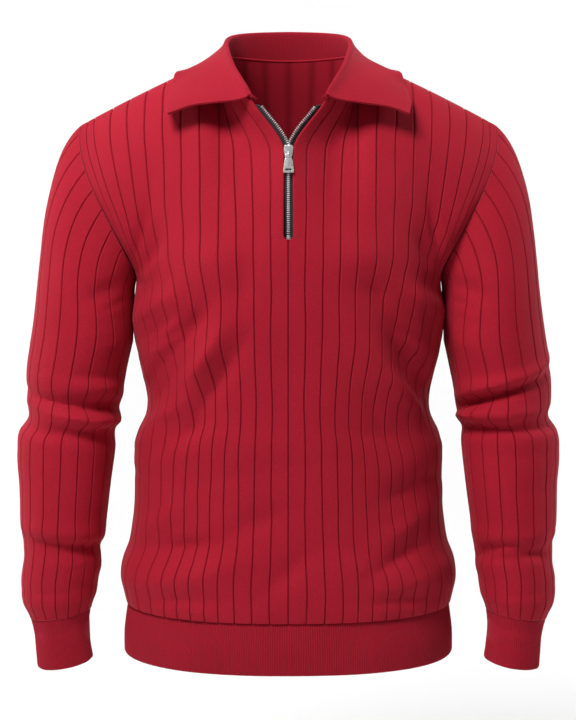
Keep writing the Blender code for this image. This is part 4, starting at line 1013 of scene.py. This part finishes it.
def buildTape(name, side, material):
    mesh, rows, along, last = Mesh(), [], 0.0, None
    for v in [slitV - 0.03] + list(np.linspace(slitV, 1.955, 120)):
        inner, outer, out = tapeRow(side, v)
        if last is not None:
            along += float(np.linalg.norm(inner - last))
        last = inner
        half = out * zipCut["tapeWall"] / 2 * mm
        across = [inner + (outer - inner) * t for t in (0, 0.12, 0.3, 0.5, 0.75, 1)]
        bead = [0.25, 0.1, 0.0, 0.0, 0.0, 0.0]  # mm, the corded edge that holds the teeth
        front = [p + half + out * b * mm for p, b in zip(across, bead)]
        rear = [p - half - out * b * mm for p, b in zip(across, bead)]
        width = [float(np.linalg.norm(p - inner)) for p in across]
        uv = [(w, along) for w in width] + [(w, along) for w in width[::-1]]
        rows.append(mesh.ring(front + rear[::-1], uv))
    mesh.grid(rows)
    mesh.faces += [tuple(rows[0][:-1]), tuple(rows[-1][:-1][::-1])]
    return mesh.build(name, material)


def repeatTree(name, shape):
    # a node tree that repeats a small shape along a path of points with an "out" direction
    tree = bpy.data.node_groups.new(name, "GeometryNodeTree")
    face = tree.interface
    face.new_socket("Path", in_out="INPUT", socket_type="NodeSocketGeometry")
    sockets = {}
    for label in ("Pitch", "Start", "Width", "Depth", "Height", "Aside", "Nose", "Finish"):
        kind = "NodeSocketMaterial" if label == "Finish" else "NodeSocketFloat"
        sockets[label] = face.new_socket(label, in_out="INPUT", socket_type=kind).identifier
    face.new_socket("Made", in_out="OUTPUT", socket_type="NodeSocketGeometry")

    def add(kind, settings=None, links=None):
        made = tree.nodes.new(kind)
        for key, value in (settings or {}).items():
            setattr(made, key, value)
        for key, value in (links or {}).items():
            socket = made.inputs[key]
            if isinstance(value, bpy.types.NodeSocket):
                tree.links.new(value, socket)
            else:
                socket.default_value = value
        return made

    entry = add("NodeGroupInput")
    line = add("GeometryNodeMeshToCurve", None, {0: entry.outputs["Path"]})
    trim = add("GeometryNodeTrimCurve", {"mode": "LENGTH"}, {"Curve": line.outputs[0]})
    span = add("GeometryNodeCurveLength", None, {0: line.outputs[0]})
    for label, socket in (("Start", entry.outputs["Start"]), ("End", span.outputs[0])):
        tree.links.new(socket, [s for s in trim.inputs if s.name == label and s.type == "VALUE"][-1])
    dots = add("GeometryNodeCurveToPoints", {"mode": "LENGTH"}, {"Curve": trim.outputs[0],
                                                                 "Length": entry.outputs["Pitch"]})
    out = add("GeometryNodeInputNamedAttribute", {"data_type": "FLOAT_VECTOR"}, {"Name": "out"})
    first = add("FunctionNodeAlignRotationToVector", {"axis": "Z"}, {"Vector": dots.outputs["Tangent"]})
    turn = add("FunctionNodeAlignRotationToVector", {"axis": "Y", "pivot_axis": "Z"},
               {"Rotation": first.outputs[0], "Vector": out.outputs[0]})
    size = add("ShaderNodeCombineXYZ", None, {0: entry.outputs["Width"], 1: entry.outputs["Depth"],
                                              2: entry.outputs["Height"]})
    aside = add("ShaderNodeCombineXYZ", None, {0: entry.outputs["Aside"]})
    if shape == "tooth":
        leg = add("GeometryNodeMeshCube", None, {"Size": size.outputs[0]})
        legPlace = add("GeometryNodeTransform", None, {"Geometry": leg.outputs[0],
                                                       "Translation": aside.outputs[0]})
        head = add("GeometryNodeMeshUVSphere", None, {"Segments": 8, "Rings": 5, "Radius": 0.5})
        headSize = add("ShaderNodeVectorMath", {"operation": "MULTIPLY"},
                       {0: size.outputs[0], 1: (1.0, 0.9, 1.06)})
        nose = add("ShaderNodeCombineXYZ", None, {0: entry.outputs["Nose"]})
        headPlace = add("GeometryNodeTransform", None, {"Geometry": head.outputs[0],
                                                        "Translation": nose.outputs[0],
                                                        "Scale": headSize.outputs[0]})
        join = add("GeometryNodeJoinGeometry", None, {0: legPlace.outputs[0]})
        tree.links.new(headPlace.outputs[0], join.inputs[0])
        piece = join.outputs[0]
    else:
        bead = add("GeometryNodeMeshUVSphere", None, {"Segments": 8, "Rings": 4, "Radius": 0.5})
        piece = add("GeometryNodeTransform", None, {"Geometry": bead.outputs[0], "Translation": aside.outputs[0],
                                                    "Scale": size.outputs[0]}).outputs[0]
    put = add("GeometryNodeInstanceOnPoints", None, {"Points": dots.outputs["Points"], "Instance": piece,
                                                     "Rotation": turn.outputs[0]})
    real = add("GeometryNodeRealizeInstances", None, {0: put.outputs[0]})
    smoothed = add("GeometryNodeSetShadeSmooth", None, {"Geometry": real.outputs[0]})
    painted = add("GeometryNodeSetMaterial", None, {"Geometry": smoothed.outputs[0],
                                                    "Material": entry.outputs["Finish"]})
    leave = add("NodeGroupOutput")
    tree.links.new(painted.outputs[0], leave.inputs[0])
    return tree, sockets


def repeatAlong(name, tree, paths, values, material):
    # paths: (points, outward directions); the result is a plain mesh
    group, sockets = tree
    data = bpy.data.meshes.new(name)
    points, edges, outs = [], [], []
    for line, out in paths:
        first = len(points)
        points += [tuple(p) for p in line]
        outs += [tuple(o) for o in out]
        edges += [(first + k, first + k + 1) for k in range(len(line) - 1)]
    data.from_pydata(points, edges, [])
    layer = data.attributes.new("out", "FLOAT_VECTOR", "POINT")
    layer.data.foreach_set("vector", np.array(outs, np.float32).ravel())
    maker = placed(name + "_path", data)
    change = maker.modifiers.new("repeat", "NODES")
    change.node_group = group
    for label, value in values.items():
        change[sockets[label]] = value
    change[sockets["Finish"]] = material
    made = evaluatedMesh(maker)
    if "out" in made.attributes:
        made.attributes.remove(made.attributes["out"])
    if not made.materials:
        made.materials.append(material)
    made.name = name
    return placed(name, made)


def flatShape(name, outlines, thick, bevel, material, matrix):
    # a plate with holes, cut from closed outlines in x and z
    curve = bpy.data.curves.new(name, "CURVE")
    curve.dimensions, curve.fill_mode = "2D", "BOTH"
    curve.extrude, curve.bevel_depth, curve.bevel_resolution = thick / 2 - bevel, bevel, 2
    for outline in outlines:
        line = curve.splines.new("POLY")
        line.use_cyclic_u = True
        line.points.add(len(outline) - 1)
        for point, (x, z) in zip(line.points, outline):
            point.co = (x, z, 0, 1)
    data = evaluatedMesh(placed(name, curve))
    fromFlat = Matrix(((1, 0, 0, 0), (0, 0, -1, 0), (0, 1, 0, 0), (0, 0, 0, 1)))
    data.transform(matrix @ fromFlat)
    return finishMetal(name, [data], material)


def finishMetal(name, meshes, material):
    edit = bmesh.new()
    for data in meshes:
        edit.from_mesh(data)
    bmesh.ops.remove_doubles(edit, verts=edit.verts, dist=1e-7)
    bmesh.ops.recalc_face_normals(edit, faces=edit.faces)
    data = bpy.data.meshes.new(name)
    edit.to_mesh(data)
    edit.free()
    data.materials.clear()
    data.materials.append(material)
    data.shade_smooth()
    data.set_sharp_from_angle(angle=math.radians(32))
    return placed(name, data)


def rounded(corners, radius, steps=5):
    # a closed outline with its corners rounded; radius is one number or one for each corner
    result = []
    for k, corner in enumerate(corners):
        r = radius[k] if isinstance(radius, (list, tuple)) else radius
        before, here, after = (np.array(corners[(k + d) % len(corners)], float) for d in (-1, 0, 1))
        one, two = unit(before - here), unit(after - here)
        for t in np.linspace(0, 1, steps):
            a, c = here + one * r, here + two * r
            result.append(tuple((1 - t) ** 2 * a + 2 * t * (1 - t) * here + t * t * c))
    return [(x * mm, z * mm) for x, z in result]


def buildSlider(place, lean, material):
    look = zipLook
    width, thick, tall = look["plate"]
    matrix = Matrix.Translation(place) @ Matrix.Rotation(-lean, 4, "X")
    back = -zipCut["tapeWall"] / 2 - look["teethRoom"]
    half, waist, top, foot = width / 2, look["waist"], tall / 2, -tall / 2
    outline = rounded([(-half, top - 1.6), (-half + 0.7, top), (-0.9, top), (0, top - 1.1), (0.9, top),
                       (half - 0.7, top), (half, top - 1.6), (half, top - 6.2), (waist, foot), (-waist, foot),
                       (-half, top - 6.2)], [0.6, 0.5, 0.3, 0.35, 0.3, 0.5, 0.6, 1.6, 0.8, 0.8, 1.6])
    front = flatShape("front_plate", [outline], thick * mm, 0.42 * mm, material,
                      matrix @ Matrix.Translation((0, (back - thick / 2) * mm, 0)))
    rearY = zipCut["tapeWall"] / 2 + look["teethRoom"] + 0.9
    rearHalf = look["backWidth"] / 2
    rear = flatShape("rear_plate", [rounded([(-rearHalf, top), (rearHalf, top), (rearHalf * 0.8, foot),
                                             (-rearHalf * 0.8, foot)], 0.8)], 1.2 * mm, 0.25 * mm, material,
                     matrix @ Matrix.Translation((0, (rearY + 0.6) * mm, 0)))
    post = flatShape("post", [rounded([(-0.6, top - 0.8), (0.6, top - 0.8), (0.6, top - 3.8), (-0.6, top - 3.8)],
                                      0.3)], (rearY - back + 1.2) * mm, 0.1 * mm, material,
                     matrix @ Matrix.Translation((0, (rearY + back) / 2 * mm, 0)))
    # the bail: a flat strap bent over the front plate
    face, points, faces = back - thick, [], []
    halfWide, halfThick = look["bailWire"]
    angles = np.radians(np.linspace(-100, 100, 33))
    for a in angles:
        for b in np.radians(np.arange(0, 360, 30)):
            r = look["bail"] + halfThick * math.cos(b)
            points.append(((halfWide * math.sin(b)) * mm, (face - r * math.cos(a)) * mm,
                           (look["hingeDrop"] + r * math.sin(a)) * mm))
    for k in range(len(angles) - 1):
        for j in range(12):
            n = (j + 1) % 12
            faces.append((k * 12 + j, k * 12 + n, (k + 1) * 12 + n, (k + 1) * 12 + j))
    faces += [tuple(range(12)), tuple(range(len(points) - 12, len(points)))]
    strap = bpy.data.meshes.new("bail")
    strap.from_pydata(points, [], faces)
    strap.transform(matrix)
    made = finishMetal("slider_metal", [front.data, rear.data, post.data, strap], material)
    for item in (front, rear, post):
        bpy.data.objects.remove(item)
    return made, face, matrix


def buildPull(matrix, face, material):
    look = zipLook
    low, neck = -look["tabReach"], look["hole"][2] + 1.5
    halfTop, halfLow = look["tabTop"] / 2, look["tabWidth"] / 2
    outer = rounded([(-neck, 0.6), (-neck, -look["tabNeck"] + 1.0), (-halfTop, -look["tabNeck"]), (-halfLow, low),
                     (halfLow, low), (halfTop, -look["tabNeck"]), (neck, -look["tabNeck"] + 1.0), (neck, 0.6)],
                    [1.3, 0.6, 0.7, 1.5, 1.5, 0.7, 0.6, 1.3], 6)
    h = look["hole"]
    hole = rounded([(-h[2], -h[0]), (h[2], -h[0]), (h[2], -h[1]), (-h[2], -h[1])], 0.8)
    s, foot = look["slot"], low + look["slotFoot"]
    slot = rounded([(-s[0] / 2 + 0.5, foot + s[1]), (s[0] / 2 - 0.5, foot + s[1]), (s[0] / 2, foot),
                    (-s[0] / 2, foot)], 1.0)
    hinge = matrix @ Matrix.Translation((0, (face - look["hingeOut"]) * mm, look["hingeDrop"] * mm))
    return flatShape("pull_metal", [outer, hole, slot], look["tabWall"] * mm, 0.3 * mm, material, hinge)


def toothPath(side, top):
    # up the left side, down the right one, so the teeth face each other
    rows = [tapeRow(side, v) for v in np.linspace(slitV + 0.012, top, 260)[::-side]]
    return np.array([r[0] for r in rows]), np.array([r[2] for r in rows])


print("surfaces ready")

# materials of the garment

bodyKnit = knitFinish("rib_knit_red", knitLook["red"])
fineKnit = knitFinish("fine_rib_red", knitLook["fineRed"])


def threadFinish():
    made = Finish("red_thread", (0.42, 0.012, 0.034), 0.6, Sheen_Weight=0.3, Sheen_Roughness=0.4)
    ply = made.noise(made.object(), 2200.0, 2.0)
    made.set("Base Color", made.mix(ply, (0.30, 0.008, 0.022, 1), (0.52, 0.020, 0.048, 1)))
    made.set("Roughness", 0.55 + ply * 0.2)
    made.set("Normal", made.bump(ply, 0.00008))
    return made.material


def tapeFinish():
    made = Finish("zip_tape_black", (0.012, 0.012, 0.013), 0.78, Sheen_Weight=0.2, Sheen_Roughness=0.5)
    across, along, _ = made.parts(made.uv())
    twill = (((along * 1250.0) + (across * 1250.0)).fract() - 0.5).abs() * 2.0
    rows = ((along * 2500.0).fract() - 0.5).abs() * 2.0
    fuzz = made.noise(made.object(), 1800.0, 2.0)
    made.set("Base Color", made.mix(twill * 0.6 + fuzz * 0.3, (0.006, 0.006, 0.007, 1),
                                    (0.030, 0.030, 0.033, 1)))
    made.set("Roughness", 0.7 + fuzz * 0.15)
    made.set("Normal", made.bump(twill * 0.7 + rows * 0.2 + fuzz * 0.2, 0.00012))
    return made.material


def metalFinish(name, colour, rough, wear):
    made = Finish(name, colour, rough, 0.55)
    place = made.object()
    cloud, grain = made.noise(place, 160.0, 3.0), made.noise(place, 1500.0, 2.0)
    share = (cloud * 0.9 + grain * 0.4 - 0.35).most(0.0).least(1.0)
    made.set("Base Color", made.mix(share, (*wear, 1), (*colour, 1)))
    made.set("Roughness", rough + (cloud - 0.5) * 0.14 + (grain - 0.5) * 0.08)
    made.set("Normal", made.bump(grain * 0.6 + cloud * 0.4, 0.00003))
    return made.material


thread, blackTape = threadFinish(), tapeFinish()
nickel = metalFinish("polished_nickel", (0.90, 0.89, 0.88), 0.26, (0.70, 0.69, 0.68))
toothNickel = metalFinish("tooth_nickel", (0.90, 0.90, 0.89), 0.32, (0.60, 0.60, 0.61))
print("materials ready")

# the pieces

tree = clothTree([bpy.data.objects[name] for name in ("front", "back")])
frontPiece = buildPanel("front_cloth", -1, bodyKnit, 1.0)
backPiece = buildPanel("back_cloth", 1, bodyKnit, 2.0)
print("front and back ready")
leftSleeve = buildSleeve("left_sleeve_cloth", -1, bodyKnit, 3.0)
rightSleeve = buildSleeve("right_sleeve_cloth", 1, bodyKnit, 4.0)
print("sleeves ready")
seam = 2 * cloth["seam"]
cuffSizes = (88, 60, cut["wristZ"] - seam, cut["cuffBottomZ"], fineKnit, 0.212)
leftCuff = buildFineTube("left_cuff_cloth", cuffRing(-1), *cuffSizes, 0.5)
rightCuff = buildFineTube("right_cuff_cloth", cuffRing(1), *cuffSizes, -0.5)
band = buildFineTube("hem_band_cloth", bandRing, 404, 160, cut["hemZ"] - seam, cut["bandBottomZ"], fineKnit,
                     0.99, 0.7)
print("cuffs and hem band ready")
collarPiece = buildCollar(tree, fineKnit)
print("collar ready")

leftTape = buildTape("left_tape_cloth", -1, blackTape)
rightTape = buildTape("right_tape_cloth", 1, blackTape)
place, lean = zipPlace()
sliderPiece, face, zipMatrix = buildSlider(place, lean, nickel)
pullPiece = buildPull(zipMatrix, face, nickel)

toothTree = repeatTree("zip_tooth_repeat", "tooth")
pitch, (toothWide, toothDeep, toothTall) = zipLook["pitch"], zipLook["tooth"]
teeth = {}
for side, word, start in ((-1, "left", 0.0), (1, "right", 0.5)):
    teeth[word] = repeatAlong(f"{word}_teeth", toothTree, [toothPath(side, 1.945)], {
        "Pitch": pitch * mm, "Start": start * pitch * mm, "Width": toothWide * mm, "Depth": toothDeep * mm,
        "Height": toothTall * mm, "Aside": 0.95 * mm, "Nose": -0.35 * mm}, toothNickel)
stopPlace = tapeRow(1, slitV + 0.010)
stops = flatShape("zip_stops", [rounded([(-1.9, 1.4), (1.9, 1.4), (1.9, -1.4), (-1.9, -1.4)], 0.7)], 2.6 * mm,
                  0.35 * mm, toothNickel,
                  Matrix.Translation((0, stopPlace[0][1], stopPlace[0][2])) @ Matrix.Rotation(-lean * 0.5, 4, "X"))
print("zip ready")

# stitches

stitchTree = repeatTree("stitch_repeat", "bead")


def stitches(name, paths, length=2.1, wide=0.75, pitch=1.9, proud=0.5):
    # sizes in mm
    return repeatAlong(name, stitchTree, paths, {
        "Pitch": pitch * mm, "Start": 0.0, "Width": wide * mm, "Depth": proud * mm, "Height": length * mm,
        "Aside": 0.0, "Nose": 0.0}, thread)


def armholePath(side):
    turns = np.linspace(0.0, 1.0, 400)
    points, normal = sleeveFrame(turns, 0.004)
    points = points + normal * 0.05 * mm
    if side > 0:
        points, normal = points * (-1, 1, 1), normal * (-1, 1, 1)
    return points, normal


def shoulderPath(half):
    us = np.linspace((cut["neckRibs"] + 0.1) / cloth["panelRibs"], 0.99, 160)
    line = topEdge(1, us) * (half, 1, 1)
    return line + np.array([0, 0, 0.1]) * mm, np.tile([0.0, 0.0, 1.0], (len(us), 1))


def ringPath(ringAt, z):
    points, normal = ringAt(np.linspace(0, 1, 500), z)
    return points + normal * 0.1 * mm, normal


def onFront(half, share, v, lift):
    points, normal, _, still = panelFrame(-1, half, share, v)
    return points[0] + normal[0] * (foldShift(frontFolds, points) * still + lift * mm)[0], normal[0]


def ladderPath(half):
    first = np.array([1 / cloth["panelRibs"]])
    rows = [onFront(half, drifted(first, v), v, 0.05) for v in np.linspace(slitV, 1.80, 160)]
    return np.array([r[0] for r in rows]), np.array([r[1] for r in rows])


seamStitches = stitches("seam_stitches", [armholePath(-1), armholePath(1), shoulderPath(-1), shoulderPath(1)])
hemStitches = stitches("hem_stitches", [ringPath(bandRing, cut["hemZ"] * mm)], 2.0, 0.7, 2.45)
cuffStitches = stitches("cuff_stitches", [ringPath(cuffRing(s), (cut["wristZ"] - 0.1) * mm) for s in (-1, 1)],
                        2.0, 0.7, 2.45)
ladder = stitches("placket_stitches", [ladderPath(-1), ladderPath(1)], 0.55, 2.6, 2.2)


def footBar():
    xs = np.linspace(-17, 17, 60)
    rows = [onFront(-1 if x < 0 else 1, np.array([abs(x) / cloth["halfPanel"]]), slitV - 0.012, 0.35)
            for x in xs]
    return np.array([r[0] for r in rows]), np.array([r[1] for r in rows])


barStitches = stitches("zip_foot_stitches", [footBar()], 1.5, 0.6, 1.6)


def ridge(name, line, outs, radius, material):
    # a soft linked ridge along a line
    mesh, rings = Mesh(), []
    along = np.gradient(line, axis=0)
    side = unit(np.cross(along, outs))
    for k in range(len(line)):
        angles = np.linspace(0, 2 * math.pi, 10, endpoint=False)
        wave = 1 + 0.10 * math.cos(k * math.pi)
        points = [line[k] + (outs[k] * math.cos(a) + side[k] * math.sin(a)) * radius * wave for a in angles]
        rings.append(mesh.ring(points, [(k * 1.2 * mm, a * mm) for a in angles]))
    mesh.grid(rings)
    mesh.faces += [tuple(rings[0][:-1]), tuple(rings[-1][:-1])]
    return mesh.build(name, material, merge=1e-9)


half = neckSeam(np.linspace(0.02, 1, 200))
line = np.vstack([half, (half * (-1, 1, 1))[-2::-1]]) + np.array([0, 0, 0.9]) * mm
inward = unit((np.array([0, -0.012, 0]) - line) * (1, 1, 0))
neckRidge = ridge("neck_seam_ridge", line + inward * 2.3 * mm, inward, 1.15 * mm, fineKnit)
print("stitches ready")

# what each piece stands for, rides on and is cut from

clothPieces = [
    (frontPiece, "front", "rib_knit", "front"), (backPiece, "back", "rib_knit", "back"),
    (leftSleeve, "sleeve_left", "rib_knit", "sleeve"), (rightSleeve, "sleeve_right", "rib_knit", "sleeve"),
    (leftCuff, "cuff_left", "fine_rib", "cuff"), (rightCuff, "cuff_right", "fine_rib", "cuff"),
    (band, "hem_band", "fine_rib", "band"), (collarPiece, "collar", "fine_rib", "collar"),
    (leftTape, "zip_tape_left", "zip_tape", "tape"), (rightTape, "zip_tape_right", "zip_tape", "tape"),
]
for piece, node, slotName, plan in clothPieces:
    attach(piece, "garment")
    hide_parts(node)
for piece in (seamStitches, hemStitches, cuffStitches, ladder, barStitches, neckRidge):
    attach(piece, "garment")
for piece in (teeth["left"], teeth["right"], stops, sliderPiece):
    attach(piece, "garment")
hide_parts("zip_slider")
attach(pullPiece, "pull_tab")
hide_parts("zip_pull")

# room, light and camera

studio = {
    "floorZ": -1.02, "backY": 2.6, "world": 0.03, "pale": (0.85, 0.87),
    "key": ((-0.75, -1.35, 1.62), 0.9, 56.0, (0, 0, -0.25)), "fill": ((-1.4, -2.6, 0.2), 1.4, 4.0),
    "top": ((0.0, 0.0, 1.7), 1.2, 3.5), "backLeft": ((-2.6, 0.9, 0.9), 1.4, 52.0, (0.0, 2.6, -0.2)),
    "backRight": ((2.6, 0.9, 0.9), 1.4, 58.0, (0.0, 2.6, -0.2)),
}


def buildStage():
    low, high = studio["pale"]
    made = Finish("pale_paper", (high, high, high), 0.9)
    tone = made.noise(made.object(), 3.0, 2.0)
    made.set("Base Color", made.mix(tone, (low, low, low, 1), (high, high, high, 1)))
    profile = [(-4.0, studio["floorZ"]), (studio["backY"] - 1.2, studio["floorZ"])]
    for a in np.radians(np.linspace(0, 90, 16)):
        profile.append((studio["backY"] - 1.2 + 1.2 * math.sin(a),
                        studio["floorZ"] + 1.2 * (1 - math.cos(a))))
    profile.append((studio["backY"], 4.5))
    data = bpy.data.meshes.new("studio_floor")
    points = [(x, y, z) for y, z in profile for x in (-6.0, 6.0)]
    faces = [(2 * k, 2 * k + 1, 2 * k + 3, 2 * k + 2) for k in range(len(profile) - 1)]
    data.from_pydata(points, [], faces)
    data.materials.append(made.material)
    data.shade_smooth()
    floor = placed("studio_floor", data)


def aimed(name, data, place, aim):
    made = placed(name, data)
    made.location = place
    made.rotation_euler = (Vector(aim) - Vector(place)).to_track_quat("-Z", "Y").to_euler()
    return made


def areaLight(name, place, size, power, aim=(0, 0, -0.3)):
    data = bpy.data.lights.new(name, "AREA")
    data.shape, data.size, data.energy = "DISK", size, power
    aimed(name, data, place, aim)


def buildCamera():
    data = bpy.data.cameras.new("camera")
    data.sensor_fit, data.sensor_height, data.lens = "VERTICAL", 24.0, 66.0
    bpy.context.scene.camera = aimed("camera", data, (-0.0005, -2.186, -0.0775), (-0.0005, 0, -0.3265))


buildStage()
for name in ("key", "fill", "top", "backLeft", "backRight"):
    areaLight(name, *studio[name])
world = bpy.context.scene.world or bpy.data.worlds.new("studio")
bpy.context.scene.world = world
world.use_nodes = True
sky = world.node_tree.nodes["Background"].inputs
sky["Color"].default_value, sky["Strength"].default_value = (1, 1, 1, 1), studio["world"]
bpy.context.scene.view_settings.view_transform = "Standard"
buildCamera()
print("room ready")
